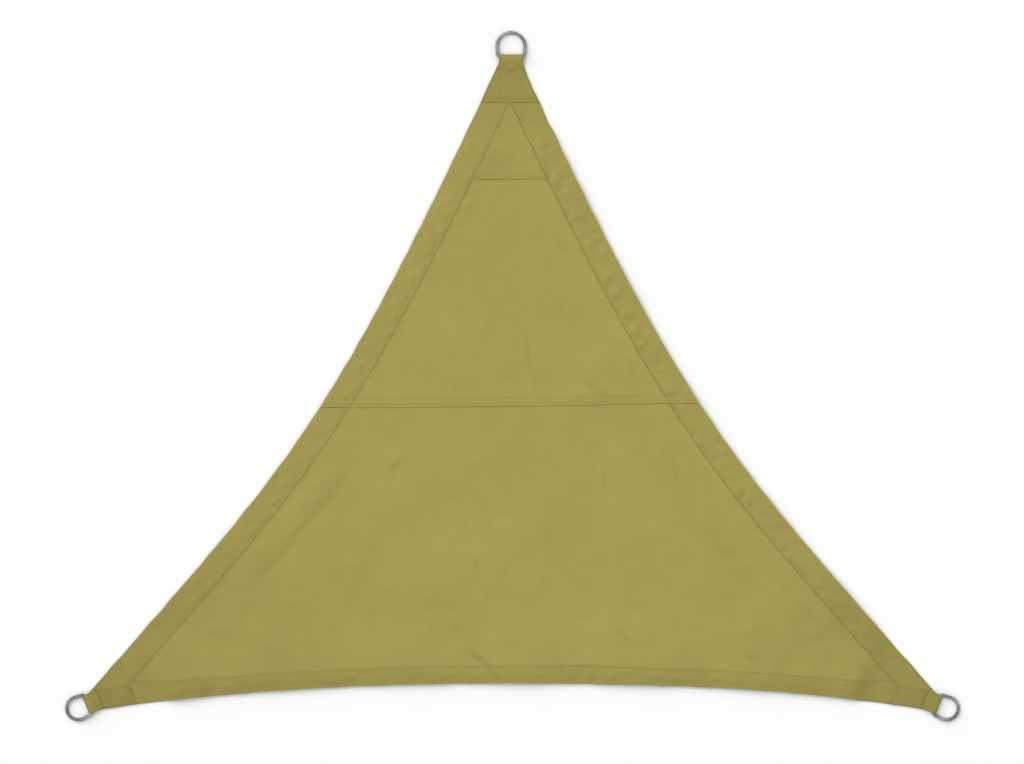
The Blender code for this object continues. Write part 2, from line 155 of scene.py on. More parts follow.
olive = {
    "sail": (0.352, 0.308, 0.078), "cap": (0.347, 0.304, 0.076), "thread": (0.30, 0.262, 0.082),
    "seamShade": (0.60, 0.59, 0.57),  # how much darker the cloth gets where its seamShade attribute is painted: painted shade at seams, hem edges, creases, corners and cap rims, and the hems' own darker doubled cloth
    "falloffMiddle": (0.06, 0.05, 0.0),  # painted shade: the cloth is a little darker away from here, towards its feet
    "falloffFrom": (0.42, 1.02), "falloffShade": 0.11,
    "threadPitch": 0.0009, "weaveDepth": 0.00006, "weaveStrength": 0.35, "slubHeight": 6.0,
    "blotch": 0.20, "blotches": ((7.0, 3.0, 0.55), (26.0, 6.0, 0.70)),  # each noise's scale, detail and roughness
    "slub": 0.05, "slubScales": ((14.0, 620.0, 1.0), (620.0, 14.0, 1.0)),  # thicker threads in both weaves
    "ply": (900.0, 2.0), "plyShade": 0.3, "plyDepth": 0.0001,
}


def noise(add, place, scale, detail, roughness=0.5):
    return add("ShaderNodeTexNoise", Vector=place, Scale=scale, Detail=detail, Roughness=roughness)


def mapped(add, vector, **settings):
    return add("ShaderNodeMapping", Vector=vector, **settings)


def scaled(add, colour, strength):
    return add("ShaderNodeVectorMath", {"operation": "SCALE"}, i0=colour, Scale=strength)


def ranged(add, value, source, target, **settings):
    (low, high), (start, end) = source, target
    return add("ShaderNodeMapRange", settings, Value=value, From_Min=low, From_Max=high, To_Min=start, To_Max=end)


def blend(add, share, first, second):
    mix = add("ShaderNodeMix", {"data_type": "RGBA"}, Factor=share)
    colours = [socket for socket in mix.inputs if socket.type == "RGBA"]
    give(colours[0], first)
    give(colours[1], second)
    return [socket for socket in mix.outputs if socket.type == "RGBA"][0]


def dress(add, shader, colour, strength, distance, height):  # a material's colour and its bumps
    give(shader.inputs["Base Color"], colour)
    bump = add("ShaderNodeBump", Strength=strength, Distance=distance, Height=height)
    give(shader.inputs["Normal"], bump)


def makeCloth(name, colour, seed):
    material, shader, add, work = newMaterial(
        name, Roughness=0.86, Specular_IOR_Level=0.22, Sheen_Weight=0.06, Sheen_Roughness=0.6
    )
    place = add("ShaderNodeUVMap", {"uv_map": "weave"})
    # large soft blotches, finer mottling and slubs
    moved = mapped(add, place, Location=(seed * 3.1, seed * 1.7, 0.0))
    blotch = work("ADD", *(noise(add, moved, *facts) for facts in olive["blotches"]))
    blotch = work("MULTIPLY_ADD", blotch, olive["blotch"], 1.0 - olive["blotch"])
    slub = work("ADD", *(noise(add, mapped(add, moved, Scale=scale), 1.0, 1.0) for scale in olive["slubScales"]))
    slub = work("MULTIPLY_ADD", slub, olive["slub"], 1.0 - olive["slub"])
    # painted shade: darker away from the middle; and darker where the seamShade attribute is painted
    spot = add("ShaderNodeTexCoord").outputs["Object"]
    away = add("ShaderNodeVectorMath", {"operation": "DISTANCE"}, i0=spot, i1=olive["falloffMiddle"]).outputs["Value"]
    # painted shade that falls off away from the middle
    falloffShade = ranged(add, away, olive["falloffFrom"], (1.0, 1.0 - olive["falloffShade"]), interpolation_type="SMOOTHSTEP")
    base = scaled(add, colour, work("MULTIPLY", work("MULTIPLY", blotch, slub), falloffShade))
    dark = add("ShaderNodeVectorMath", {"operation": "MULTIPLY"}, i0=base, i1=olive["seamShade"])
    seam = add("ShaderNodeAttribute", {"attribute_name": "seamShade"}).outputs["Fac"]
    # plain weave, as bumps of both threads
    pitch = math.pi / olive["threadPitch"]
    waves = add("ShaderNodeSeparateXYZ", Vector=mapped(add, place, Scale=(pitch, pitch, 1.0))).outputs
    weave = work("MULTIPLY", work("SINE", waves["X"]), work("SINE", waves["Y"]))
    height = work("MULTIPLY_ADD", slub, olive["slubHeight"], weave)
    dress(add, shader, blend(add, seam, base, dark), olive["weaveStrength"], olive["weaveDepth"], height)
    return material


def makeThread(name, colour):
    material, shader, add, work = newMaterial(name, Roughness=0.6)
    ply = noise(add, add("ShaderNodeTexCoord").outputs["Object"], *olive["ply"])
    shade = work("MULTIPLY_ADD", ply, olive["plyShade"], 1.0 - 0.5 * olive["plyShade"])
    dress(add, shader, scaled(add, colour, shade), 0.4, olive["plyDepth"], ply)
    return material


steelLook = {
    "litTop": (0.50, 0.505, 0.52, 1.0), "shadedSide": (0.078, 0.078, 0.083, 1.0),  # painted reflection: bright on top, dark on the wire's sides
    "smears": (160.0, 4.0, 0.6), "smearShade": 0.30, "smearFrom": (0.3, 0.7), "roughness": (0.10, 0.20),
    "stretches": (42.0, 1.0), "stretchFrom": (0.36, 0.64), "stretchShades": (0.52, 1.14),
    "scratches": (1400.0, 2.0), "scratchStrength": 0.12, "scratchDepth": 0.0001,
}


def makeSteel(name):
    material, shader, add, work = newMaterial(name, Metallic=1.0)
    place = add("ShaderNodeTexCoord").outputs["Object"]
    smear, stretch = noise(add, place, *steelLook["smears"]), noise(add, place, *steelLook["stretches"])
    give(shader.inputs["Roughness"], ranged(add, smear, steelLook["smearFrom"], steelLook["roughness"]))
    # darker and brighter stretches along the wire; painted reflection, bright on top and dark on the sides, with a
    # painted highlight on the shoulders
    smeared = work("MULTIPLY_ADD", smear, steelLook["smearShade"], 1.0 - 0.5 * steelLook["smearShade"])
    tone = work("MULTIPLY", smeared, ranged(add, stretch, steelLook["stretchFrom"], steelLook["stretchShades"]))
    shadedSide = add("ShaderNodeAttribute", {"attribute_name": "wireSide"}).outputs["Fac"]
    colour = scaled(add, blend(add, shadedSide, steelLook["litTop"], steelLook["shadedSide"]), tone)
    scratches = noise(add, place, *steelLook["scratches"])
    dress(add, shader, colour, steelLook["scratchStrength"], steelLook["scratchDepth"], scratches)
    return material


sailCloth = makeCloth("sailCloth", olive["sail"], 1.0)
capCloth = makeCloth("capCloth", olive["cap"], 4.0)
thread = makeThread("seamThread", olive["thread"])
steel = makeSteel("ringSteel")
print("materials made")

# The sail's outline, seen from above

sail = {
    "topMiddle": -0.0045, "topHalf": 0.0313, "topY": 0.6075, "topAngle": 25.0, "topHandle": 0.790,
    "footMiddle": -0.0006, "footHalf": 0.8110, "footY": -0.5925, "footAngle": 41.0, "footHandle": 0.541,
    "runOn": 0.16, "sideSteps": 400,
    # left and right, and for the inset at the top and at the foot
    "sideInset": ((-0.0002, 0.0003), (0.0014, 0.0002)),
    "sideHemTop": (0.0512, 0.0521), "sideHemFoot": (0.0483, 0.0482), "hemRows": 0.0500,
    "bottomY": -0.6139, "bottomDrop": 0.0482, "bottomHalf": 0.800, "bottomPower": 2.24, "bottomReach": 0.90,
    "bottomHigh": 0.0024, "bottomHighX": 0.53, "bottomHighReach": 0.19,
    "bottomHem": 0.0345, "bottomHemFlare": 0.0222, "flarePower": 10,
    "seamY": -0.0603, "seamClimb": 0.0127, "seamBow": 0.018, "lap": 0.0200, "lapRamp": 0.020,
    "patchY": 0.3937,
    "edgeWobble": 0.0004, "hemWobble": 0.00025, "seamWobble": 0.0004,
    # each line's small wobble: seed, longest and shortest wave
    "sideWaves": (11, 0.11, 0.05), "sideHemWaves": (21, 0.10, 0.04), "bottomWaves": (31, 0.13, 0.06),
    "bottomHemWaves": (32, 0.10, 0.05), "seamWaves": (33, 0.12, 0.05),
    "tipSteps": 25, "tipOut": 3.0,  # the outlines go on inside the caps, and past the feet
}

layers = {
    "cloth": 0.0009, "hem": 0.0014, "patch": 0.0007, "leastShare": 0.12,  # and what is left of it at an edge
    "underLap": 0.0005, "lapRise": 0.0007,  # the upper panel's underside over the lower panel's, at the lap
    "tipRise": 0.0015,  # the sail's tips over the surface, inside the caps
}

corners = {
    "Top": {"fold": (-0.0026, 0.6435), "into": -90.0, "loop": 0.0240, "bow": 0.0280, "rise": 0.0204, "slide": -0.0003},
    "Left": {"fold": (-0.8532, -0.6577), "into": 21.5, "loop": 0.0190, "bow": 0.0230, "rise": 0.0212, "slide": -0.0002},
    "Right": {"fold": (0.8532, -0.6577), "into": 158.5, "loop": 0.0190, "bow": 0.0230, "rise": 0.0212, "slide": 0.0002},
}

cap = {
    "length": 0.0960, "stitch": 0.0300, "loopSoftness": 0.0018, "pinch": 0.0020,
    "wire": 0.0030, "wrapInner": 0.0038, "wrapOuter": 0.0048, "barA": 0.0048, "barZ": 0.0048,
    "lowerLayer": 0.0010, "upperInner": 0.0032, "cloth": 0.0009, "tipEnd": 0.0200,
}


def ease(value, start=0.0, reach=1.0):  # from nought to one, softly
    share = np.clip((value - start) / reach, 0.0, 1.0)
    return share * share * (3.0 - 2.0 * share)


def softMax(first, second, softness):
    return 0.5 * (first + second + np.sqrt((first - second) ** 2 + softness**2))


def wobble(run, seed, longest, shortest, count=7):
    draw = np.random.default_rng(seed)
    waves, starts = draw.uniform(shortest, longest, count), draw.uniform(0.0, 2.0 * math.pi, count)
    return sum(np.sin(2.0 * math.pi * run / wave + start) for wave, start in zip(waves, starts)) / math.sqrt(count)


def ripple(x, y, seed, longest, shortest, count):  # uneven cloth, as waves that run all ways
    draw = np.random.default_rng(seed)
    waves, turns = draw.uniform(shortest, longest, count), draw.uniform(0.0, math.pi, count)
    total = 0.0
    for wave, turn, start in zip(waves, turns, draw.uniform(0.0, 2.0 * math.pi, count)):
        total = total + np.sin(2.0 * math.pi * (x * math.cos(turn) + y * math.sin(turn)) / wave + start)
    return total / math.sqrt(count)


def nearLine(offset, reach):  # one on a line, falling softly to nought beside it
    return np.exp(-((offset / reach) ** 2))


def alongLine(x, y, start, end):  # share of the way along a line, and the distance from it
    runX, runY = end[0] - start[0], end[1] - start[1]
    share = np.clip(((x - start[0]) * runX + (y - start[1]) * runY) / (runX**2 + runY**2), 0.0, 1.0)
    return share, np.hypot(x - start[0] - share * runX, y - start[1] - share * runY)


def ofSide(pair, sign):
    return pair[0 if sign < 0 else 1]


def downAndOut(angle, sign):
    lean = math.radians(angle)
    return np.array([sign * math.sin(lean), -math.cos(lean)])


def curveRun(curve):
    return np.concatenate([[0.0], np.cumsum(np.linalg.norm(np.diff(curve, axis=0), axis=1))])


def inwardsOf(curve, sign):
    along = np.gradient(curve, axis=0)
    along /= np.linalg.norm(along, axis=1)[:, None]
    return sign * np.stack([along[:, 1], -along[:, 0]], axis=1)


def makeSide(sign):
    downTop, downFoot = downAndOut(sail["topAngle"], sign), downAndOut(sail["footAngle"], sign)
    start = np.array([sail["topMiddle"] + sign * sail["topHalf"], sail["topY"]])
    end = np.array([sail["footMiddle"] + sign * sail["footHalf"], sail["footY"]])
    first, second = start + sail["topHandle"] * downTop, end - sail["footHandle"] * downFoot
    t = np.linspace(0.0, 1.0, sail["sideSteps"] + 1)[:, None]
    bend = (1 - t) ** 3 * start + 3 * (1 - t) ** 2 * t * first + 3 * (1 - t) * t**2 * second + t**3 * end
    curve = np.vstack([start - sail["runOn"] * downTop, bend, end + sail["runOn"] * downFoot])
    run = curveRun(curve)
    atTop, atFoot = ofSide(sail["sideInset"], sign)
    seed, *waves = sail["sideWaves"]
    inset = atTop + (atFoot - atTop) * run / run[-1] + sail["edgeWobble"] * wobble(run, seed + sign, *waves)
    return curve + inwardsOf(curve, sign) * inset[:, None]


def makeSideHem(sign):
    side = sides[sign]
    top, foot = ofSide(sail["sideHemTop"], sign), ofSide(sail["sideHemFoot"], sign)
    width = top + (foot - top) * np.linspace(0.0, 1.0, len(side))
    seed, *waves = sail["sideHemWaves"]
    width = width + sail["hemWobble"] * wobble(curveRun(side), seed + sign, *waves)
    return side + inwardsOf(side, sign) * width[:, None]


sides = {sign: makeSide(sign) for sign in (-1, 1)}
sideRuns = {sign: curveRun(sides[sign]) for sign in (-1, 1)}
sideHems = {sign: makeSideHem(sign) for sign in (-1, 1)}


def bottomY(x):
    drop = sail["bottomDrop"] * (np.abs(x) / sail["bottomHalf"]) ** sail["bottomPower"]
    high = sail["bottomHigh"] * nearLine(x - sail["bottomHighX"], sail["bottomHighReach"])
    return sail["bottomY"] - drop + high + sail["edgeWobble"] * wobble(x, *sail["bottomWaves"])


def bottomHemY(x):
    flare = sail["bottomHemFlare"] * (np.abs(x) / sail["bottomHalf"]) ** sail["flarePower"]
    return bottomY(x) + sail["bottomHem"] + flare + sail["hemWobble"] * wobble(x, *sail["bottomHemWaves"])


def seamY(x):
    bow = sail["seamClimb"] * x + sail["seamBow"] * x**2
    return sail["seamY"] + bow + sail["seamWobble"] * wobble(x, *sail["seamWaves"])


def bottomCurve():
    x = np.linspace(-sail["bottomReach"], sail["bottomReach"], sail["sideSteps"] + 1)
    return np.stack([x, bottomY(x)], axis=1)


def crossing(curve, lineAt):  # where a curve that runs down first passes below a line
    above = curve[:, 1] - lineAt(curve[:, 0])
    i = int(np.argmax(above <= 0.0))
    share = above[i - 1] / (above[i - 1] - above[i])
    return curve[i - 1, 0] + share * (curve[i, 0] - curve[i - 1, 0])


def onCurve(curve, y):
    return np.interp(y, curve[::-1, 1], curve[::-1, 0])


# Corner frames: a runs from a cap's fold into the sail, b across it

def cornerAxes(corner):
    angle = math.radians(corner["into"])
    return np.array([math.cos(angle), math.sin(angle)]), np.array([-math.sin(angle), math.cos(angle)])


def toCorner(corner, points):
    into, across = cornerAxes(corner)
    offset = points - np.array(corner["fold"])
    return offset @ into, offset @ across


def fromCorner(corner, a, b):
    into, across = cornerAxes(corner)
    return np.array(corner["fold"]) + np.multiply.outer(a, into) + np.multiply.outer(b, across)


cornerEdges = {
    "Top": (sides[1], sides[-1]),
    "Left": (sides[-1], bottomCurve()),
    "Right": (bottomCurve(), sides[1]),
}


def capEdge(name, a, sign):
    corner = corners[name]
    curveA, curveB = toCorner(corner, cornerEdges[name][0 if sign > 0 else 1])
    order = np.argsort(curveA)
    edge = sign * np.interp(a, curveA[order], curveB[order])
    return sign * softMax(edge, corner["loop"], cap["loopSoftness"])


def capSide(name, start, end, sign):
    a = np.linspace(start, end, sail["tipSteps"])
    return fromCorner(corners[name], a, capEdge(name, a, sign))


def panelOutline(sign):
    foot, side = ofSide(("Left", "Right"), sign), sides[sign]
    free = [toCorner(corners[name], side)[0] > cap["length"] for name in ("Top", foot)]
    top, low = capSide("Top", 0.0, cap["length"], sign), capSide(foot, cap["length"], cap["tipEnd"], -sign)
    past = fromCorner(corners[foot], cap["tipEnd"], sign * sail["tipOut"] * corners[foot]["loop"])
    return np.vstack([top, side[free[0] & free[1]], low, past[None, :]])


outlines = {sign: panelOutline(sign) for sign in (-1, 1)}
capEndY = corners["Top"]["fold"][1] - cap["length"]

# How the cloth lies: stiff hems stand up a little, and long soft folds run over the field

lie = {
    "base": 0.0008, "settle": 0.0004,
    "edgeLifts": (0.0026, 0.0066, 0.0112),  # left, right and bottom edge
    "edgeFlats": (0.0, 0.028, 0.0), "edgeReaches": (0.085, 0.074, 0.170), "edgeWave": 0.23, "edgeWaveShare": 0.13,
    "edgeDip": 0.0034, "edgeDipReach": 0.022,  # the bottom hem's fold turns down again
    "tipLevel": 0.038, "tipReach": 0.050,  # how the cloth comes down from a cap to the surface
    "seamCalm": 0.060, "calmShare": 0.5, "cornerShade": 0.08, "crestPower": 0.7, "crestEnds": (0.02, 0.98),
    # seed, longest and shortest wave, and their number
    "rippleHeight": 0.00060, "ripples": (61, 0.24, 0.08, 26),
    "crumpleHeight": 0.00022, "crumples": (62, 0.070, 0.028, 60),
    "puckerHeights": (0.00022, 0.00036, 0.00042), "puckerReach": 0.030, "puckerSkew": 0.35,
    "puckerSeed": 51, "puckers": (0.045, 0.017, 7),
    "hemPuckerHeights": (0.00042, 0.00085, 0.00060), "hemPuckerSeed": 55, "hemPuckers": (0.044, 0.017, 44),
    "hemPuckerEnds": (0.008, 0.010), "hemPuckerRise": (0.7, 0.6),
}

# soft folds, in millimetres: both ends (x, y, x, y), half width and height
folds = [
    (-300, -110, -600, -470, 34, 1.5), (385, -200, 620, -490, 50, 3.0),
    (-100, -560, -30, -440, 45, 1.4), (235, -480, 205, -170, 55, 1.8),
    (-215, -330, 20, -380, 60, 1.2), (50, 180, 65, -10, 40, 0.9),
    (150, 150, 215, -20, 50, 1.2), (-420, -560, -250, -500, 50, 1.0),
]

# narrow creases and dents left by packing, the same way: a height below nought is a trough, and the last number is how
# much painted shade darkens the cloth along it
creases = [
    (-280, -132, -535, -435, 13, 0.4, 0.20), (21, 112, 50, -49, 6, -0.4, 0.22),
    (62, 255, 74, 180, 13, 1.1, 0.00), (88, 290, 116, 220, 18, -0.5, 0.14),
    (96, 136, 196, 146, 14, 0.9, 0.00), (126, 11, 196, -48, 12, 1.0, 0.12),
    (216, 62, 256, -30, 9, 0.8, 0.14), (-46, 356, -41, 320, 7, 0.0, 0.12),
    (-100, 350, -88, 320, 14, 0.9, 0.00), (-204, 110, -190, 60, 15, 0.9, 0.00),
    (-222, -160, -250, -198, 16, 0.5, 0.22), (-104, -288, -86, -315, 11, 0.0, 0.20),
    (-138, -323, -128, -327, 11, 0.0, 0.13), (-76, -355, -70, -389, 11, 0.4, 0.20),
    (-78, -460, -48, -440, 11, 0.4, 0.16), (-114, -495, -106, -508, 15, 0.0, 0.15),
    (-10, -510, -6, -520, 12, 0.0, 0.12), (-444, -456, -432, -468, 16, 0.0, 0.14),
    (-96, -544, -36, -586, 9, 0.6, 0.52), (-40, -586, -26, -612, 8, 0.4, 0.26),
    (84, -579, 196, -577, 5, 0.0, 0.34), (560, -430, 622, -514, 12, 0.4, 0.12),
    (-624, -516, -572, -510, 12, 0.0, 0.18), (316, -154, 332, -216, 8, 0.0, 0.24),
    (408, -338, 452, -365, 12, 0.0, 0.17), (182, -148, 182, -255, 7, 0.6, 0.13),
    (208, -328, 212, -381, 9, 0.6, 0.17), (180, -400, 192, -405, 12, 0.0, 0.14),
    (196, -498, 242, -533, 6, 0.4, 0.24), (506, -520, 514, -525, 12, 0.0, 0.15),
    (592, -534, 628, -520, 14, 0.0, 0.20), (446, -552, 506, -569, 10, 0.0, 0.17),
]


def ridge(x, y, line):
    startX, startY, endX, endY, halfWidth = (part / 1000.0 for part in line[:5])
    share, distance = alongLine(x, y, (startX, startY), (endX, endY))
    crest = np.sin(math.pi * np.clip(share, *lie["crestEnds"])) ** lie["crestPower"]
    return crest * (1.0 - ease(distance / halfWidth))


def nearCorner(x, y):
    points = np.stack([np.ravel(x), np.ravel(y)], axis=1)
    near = np.zeros(len(points))
    for corner in corners.values():
        past = toCorner(corner, points)[0] - cap["length"]
        near = np.maximum(near, 1.0 - ease(past, lie["tipLevel"], lie["tipReach"]))
    return near.reshape(np.shape(x))


def edgeFacts(x, y):  # distance from each edge, and how far along that edge
    facts = []
    for sign, side in sides.items():
        slope = np.gradient(side[:, 0]) / np.gradient(side[:, 1])
        lean = np.interp(y, side[::-1, 1], np.abs(slope[::-1]))
        distance = -sign * (x - onCurve(side, y)) / np.sqrt(1.0 + lean**2)
        facts.append((distance, np.interp(y, side[::-1, 1], sideRuns[sign][::-1]) + 0.5 * distance))
    return [*facts, (y - bottomY(x), x + sail["bottomReach"])]


def underside(x, y):
    lift, pucker = np.zeros(np.shape(x)), np.zeros(np.shape(x))
    for i, (distance, run) in enumerate(edgeFacts(x, y)):
        wave = 1.0 - lie["edgeWaveShare"] * (1.0 - np.cos(2.0 * math.pi * run / lie["edgeWave"]))
        edge = lie["edgeLifts"][i] * wave * (1.0 - ease(distance, lie["edgeFlats"][i], lie["edgeReaches"][i]))
        if i == 2:
            edge = edge - lie["edgeDip"] * (1.0 - ease(distance / lie["edgeDipReach"]))
        lift = np.maximum(lift, edge)
        width = sail["bottomHem"] if i == 2 else sail["hemRows"]
        close = nearLine(distance - width, lie["puckerReach"])
        skewed = run + lie["puckerSkew"] * (distance - width)
        pucker += close * wobble(skewed, lie["puckerSeed"] + i, *lie["puckers"]) * lie["puckerHeights"][i]
        (inner, outer), (least, rise) = lie["hemPuckerEnds"], lie["hemPuckerRise"]
        inHem = ease((width - distance) / inner) * ease(distance / outer) * (least + rise * ease(distance / width))
        pucker += inHem * ripple(x, y, lie["hemPuckerSeed"] + i, *lie["hemPuckers"]) * lie["hemPuckerHeights"][i]
    for line in folds:
        lift = np.maximum(lift, line[5] / 1000.0 * ridge(x, y, line))
    calm = ease(np.abs(y - seamY(x)), sail["lap"], lie["seamCalm"])
    detail = pucker + lie["rippleHeight"] * ripple(x, y, *lie["ripples"])
    detail = detail + lie["crumpleHeight"] * ripple(x, y, *lie["crumples"])
    for line in creases:
        detail = detail + line[5] / 1000.0 * ridge(x, y, line)
    near = nearCorner(x, y)
    free = lie["base"] + lift + detail * (lie["calmShare"] + (1.0 - lie["calmShare"]) * calm)
    return softMax(layers["tipRise"] * near + (1.0 - near) * free, 0.0, lie["settle"])


# Sheets of cloth as closed meshes

def roundOver(offset, radius):  # share of its full thickness that a rounded edge has at this distance from it
    share = np.clip(offset / radius, 0.0, 1.0)
    return np.maximum(np.sqrt(np.clip(1.0 - (1.0 - share) ** 2, 0.0, 1.0)), layers["leastShare"])


def layFaces(plan, base, thick, rounding, groove):
    bottom = base + thick * 0.5 * (1.0 - rounding)
    top = base + thick * 0.5 * (1.0 + rounding) - groove
    return [np.concatenate([plan, height[..., None]], axis=2) for height in (bottom, top)]


def closedSheet(name, low, high, weave, seamShade, material):
    rows, columns = low.shape[:2]
    count = rows * columns
    grid = np.arange(count).reshape(rows, columns)
    a, b, c, d = grid[:-1, :-1], grid[:-1, 1:], grid[1:, 1:], grid[1:, :-1]
    under = np.stack([a, d, c, b], axis=-1).reshape(-1, 4)
    over = np.stack([a, b, c, d], axis=-1).reshape(-1, 4) + count
    rim = np.concatenate([grid[0, :], grid[1:, -1], grid[-1, -2::-1], grid[-2:0:-1, 0]])
    after = np.roll(rim, -1)
    wall = np.stack([rim, after, after + count, rim + count], axis=-1)
    faces = np.concatenate([under, over, wall])
    mesh = bpy.data.meshes.new(name)
    mesh.from_pydata(np.concatenate([low.reshape(-1, 3), high.reshape(-1, 3)]).tolist(), [], faces.tolist())
    spots = np.concatenate([weave.reshape(-1, 2)] * 2)[faces.ravel()]
    mesh.uv_layers.new(name="weave").data.foreach_set("uv", spots.astype(np.float32).ravel())
    shade = mesh.attributes.new("seamShade", "FLOAT", "POINT")
    shade.data.foreach_set("value", np.concatenate([seamShade.ravel()] * 2).astype(np.float32))
    mesh.materials.append(material)
    mesh.shade_smooth()
    mesh.update()
    return linked(name, mesh)


hem = {
    "shades": (0.09, 0.17), "innerShades": (0.33, 0.60),  # left and right hem: their doubled cloth's darker tone, with more painted shade on the right, and painted shade along their inner edges
    "bottomShade": 0.16, "bottomInnerShade": 0.33, "stitchShade": 0.05, "innerReach": 0.0014,
    "stitches": (0.0022, 0.0095), "stitchReach": 0.0006, "grooves": (0.00014, 0.00006),
    "foldRadius": 0.0012, "bevel": 0.0002, "bevelReach": 0.0003, "shadowAt": 0.0006, "fallReach": 0.0018,
    # offsets of the fine rows that a hem needs, from its inner edge outwards, from its fold inwards and past it
    "fromInner": (0.0, 0.0006, 0.0015, 0.0022, 0.0029, 0.0045, 0.0068, 0.0088, 0.0095, 0.0102, 0.0125),
    "fromFold": (0.0080, 0.0045, 0.0025, 0.0012, 0.0008, 0.0004, 0.00015, 0.0),
    "pastInner": (0.0003, 0.0006, 0.0010, 0.0018, 0.0035, 0.0070), "middle": 6,
    "leastHalf": 0.004, "tightHalf": 0.014, "fieldMargin": 0.004,  # where both hems come close to each other
}


def stitchLines(offset, places):
    return [nearLine(offset - place, hem["stitchReach"]) for place in places]


def hemProfile(width, shade, innerShade):  # for each fine row: share of the width, thickness, rounding, groove, shade
    middle = np.linspace(hem["fromInner"][-1], width - hem["fromFold"][0], hem["middle"] + 2)[1:-1]
    inner = np.concatenate([hem["fromInner"], middle, width - np.array(hem["fromFold"])])
    rows = stitchLines(inner, hem["stitches"])
    shade = shade + innerShade * nearLine(inner, hem["innerReach"]) + hem["stitchShade"] * sum(rows)
    return {
        "share": inner / width,
        "thick": np.where(inner < hem["bevelReach"], layers["hem"] - hem["bevel"], layers["hem"]),
        "round": roundOver(width - inner, hem["foldRadius"]),
        "groove": sum(row * depth for row, depth in zip(rows, hem["grooves"])),
        "shade": np.clip(shade, 0.0, 1.0),
    }


def pastProfile(innerShade):  # the same just past a hem's inner edge
    past = np.array(hem["pastInner"])
    full = layers["hem"] - hem["bevel"]
    return {
        "offset": past,
        "thick": full - (full - layers["cloth"]) * ease(past / hem["fallReach"]),
        "round": np.ones(len(past)), "groove": np.zeros(len(past)),
        "shade": innerShade * nearLine(past - hem["shadowAt"], hem["fallReach"]),
    }


def acrossPanel(fieldColumns):  # one list of columns for every row of a panel
    hems = [hemProfile(sail["hemRows"], *shades) for shades in zip(hem["shades"], hem["innerShades"])]
    pasts = [pastProfile(shade) for shade in hem["innerShades"]]
    columns = {}
    for key, plain in (("thick", layers["cloth"]), ("round", 1.0), ("groove", 0.0), ("shade", 0.0)):
        field = np.full(fieldColumns, plain)
        columns[key] = np.concatenate([hems[0][key][::-1], pasts[0][key], field, pasts[1][key][::-1], hems[1][key]])
    return hems[0]["share"], pasts[0]["offset"], np.linspace(0.0, 1.0, fieldColumns), columns


def panelPlan(lines, share, offset, field):
    plan = []
    for line in lines:
        edges = [crossing(outlines[sign], line) for sign in (-1, 1)]
        inner = [crossing(sideHems[sign], line) for sign in (-1, 1)]
        middle, half = 0.5 * (inner[0] + inner[1]), max(0.5 * (inner[1] - inner[0]), hem["leastHalf"])
        left, right = middle - half, middle + half
        reach = offset * min(1.0, half / hem["tightHalf"])
        hemLeft = left + (edges[0] - left) * share
        hemRight = right + (edges[1] - right) * share
        spread = hem["fieldMargin"] + (1.0 - 2.0 * hem["fieldMargin"]) * field
        fieldX = left + reach[-1] + (right - left - 2.0 * reach[-1]) * spread
        x = np.concatenate([hemLeft[::-1], left + reach, fieldX, right - reach[::-1], hemRight])
        plan.append(np.stack([x, line(x)], axis=1))
    return np.array(plan)


def shifted(line, rise):
    return lambda x: line(x) + rise


def between(low, high, share):
    return lambda x: (1.0 - share) * low(x) + share * high(x)


def level(y):
    return lambda x: y + 0.0 * np.asarray(x, dtype=float)


def across(line, **facts):  # one row of a panel's mesh: plain cloth, but for the facts given
    plain = {"thick": layers["cloth"], "round": 1.0, "groove": 0.0, "shade": 0.0, "single": False, "keepShade": 1.0}
    return {"line": line, **plain, **facts}


def acrossField(start, end, count, last=None):  # plain rows from one line to another
    return [across(between(start, end, share)) for share in np.linspace(0.0, 1.0, count)[1:last]]


def factsAt(profile, i):
    return {key: profile[key][i] for key in ("thick", "round", "groove", "shade")}


def stitchedRows(share, width):
    return [int(np.argmin(np.abs(share * width - place))) for place in hem["stitches"]]


def layPanel(name, rows, fieldColumns, rise, highSpan, lowSpan):  # also gives the paths of both side hems' stitches
    share, offset, field, columns = acrossPanel(fieldColumns)
    plan = panelPlan([row["line"] for row in rows], share, offset, field)
    facts = {key: np.array([row[key] for row in rows])[:, None] for key in rows[0] if key != "line"}
    x, y = plan[..., 0], plan[..., 1]
    thick = np.where(facts["single"], layers["underLap"], np.maximum(facts["thick"], columns["thick"]))
    rounding = np.minimum(facts["round"], columns["round"])
    groove = np.maximum(facts["groove"], columns["groove"])
    shade = np.maximum(facts["shade"], columns["shade"] * facts["keepShade"])
    # painted shade along the creases, and near the corners
    shade = shade + sum(line[6] * ridge(x, y, line) for line in creases)
    shade = np.clip(shade + lie["cornerShade"] * nearCorner(x, y), 0.0, 1.0)
    low, high = layFaces(plan, underside(x, y) + rise(x, y), thick, rounding, groove)
    paths = []
    for i in stitchedRows(share, sail["hemRows"]):
        for column in (len(share) - 1 - i, high.shape[1] - len(share) + i):
            paths += [(high[highSpan, column], 1), (low[lowSpan, column], -1)]
    return closedSheet(name, low, high, plan, shade, sailCloth), low, high, paths


upper = {
    "fieldColumns": 72, "rowStep": 0.0052, "lapClear": 0.0012, "tipClear": 0.0012, "tipStart": 0.0006, "tipRows": 4,
    "stitches": (0.0058, 0.0168), "stitchEnd": 4, "groove": 0.00018, "foldRadius": 0.00045,
    "foldShade": 0.20, "stitchShade": 0.02, "lapShade": 0.05,
    # offsets of the fine rows from the seam, past the lap and at the patch's edge
    "fromSeam": (0.0, 0.00015, 0.0004, 0.0010, 0.0030, 0.0050, 0.0058, 0.0066, 0.0090, 0.0125, 0.0160, 0.0168, 0.0176),
    "pastLap": (0.0, 0.0028, 0.0055, 0.0082, 0.011),
    "atPatch": (-0.0050, -0.0030, -0.0018, -0.0010, -0.0004, 0.0, 0.0010),
}


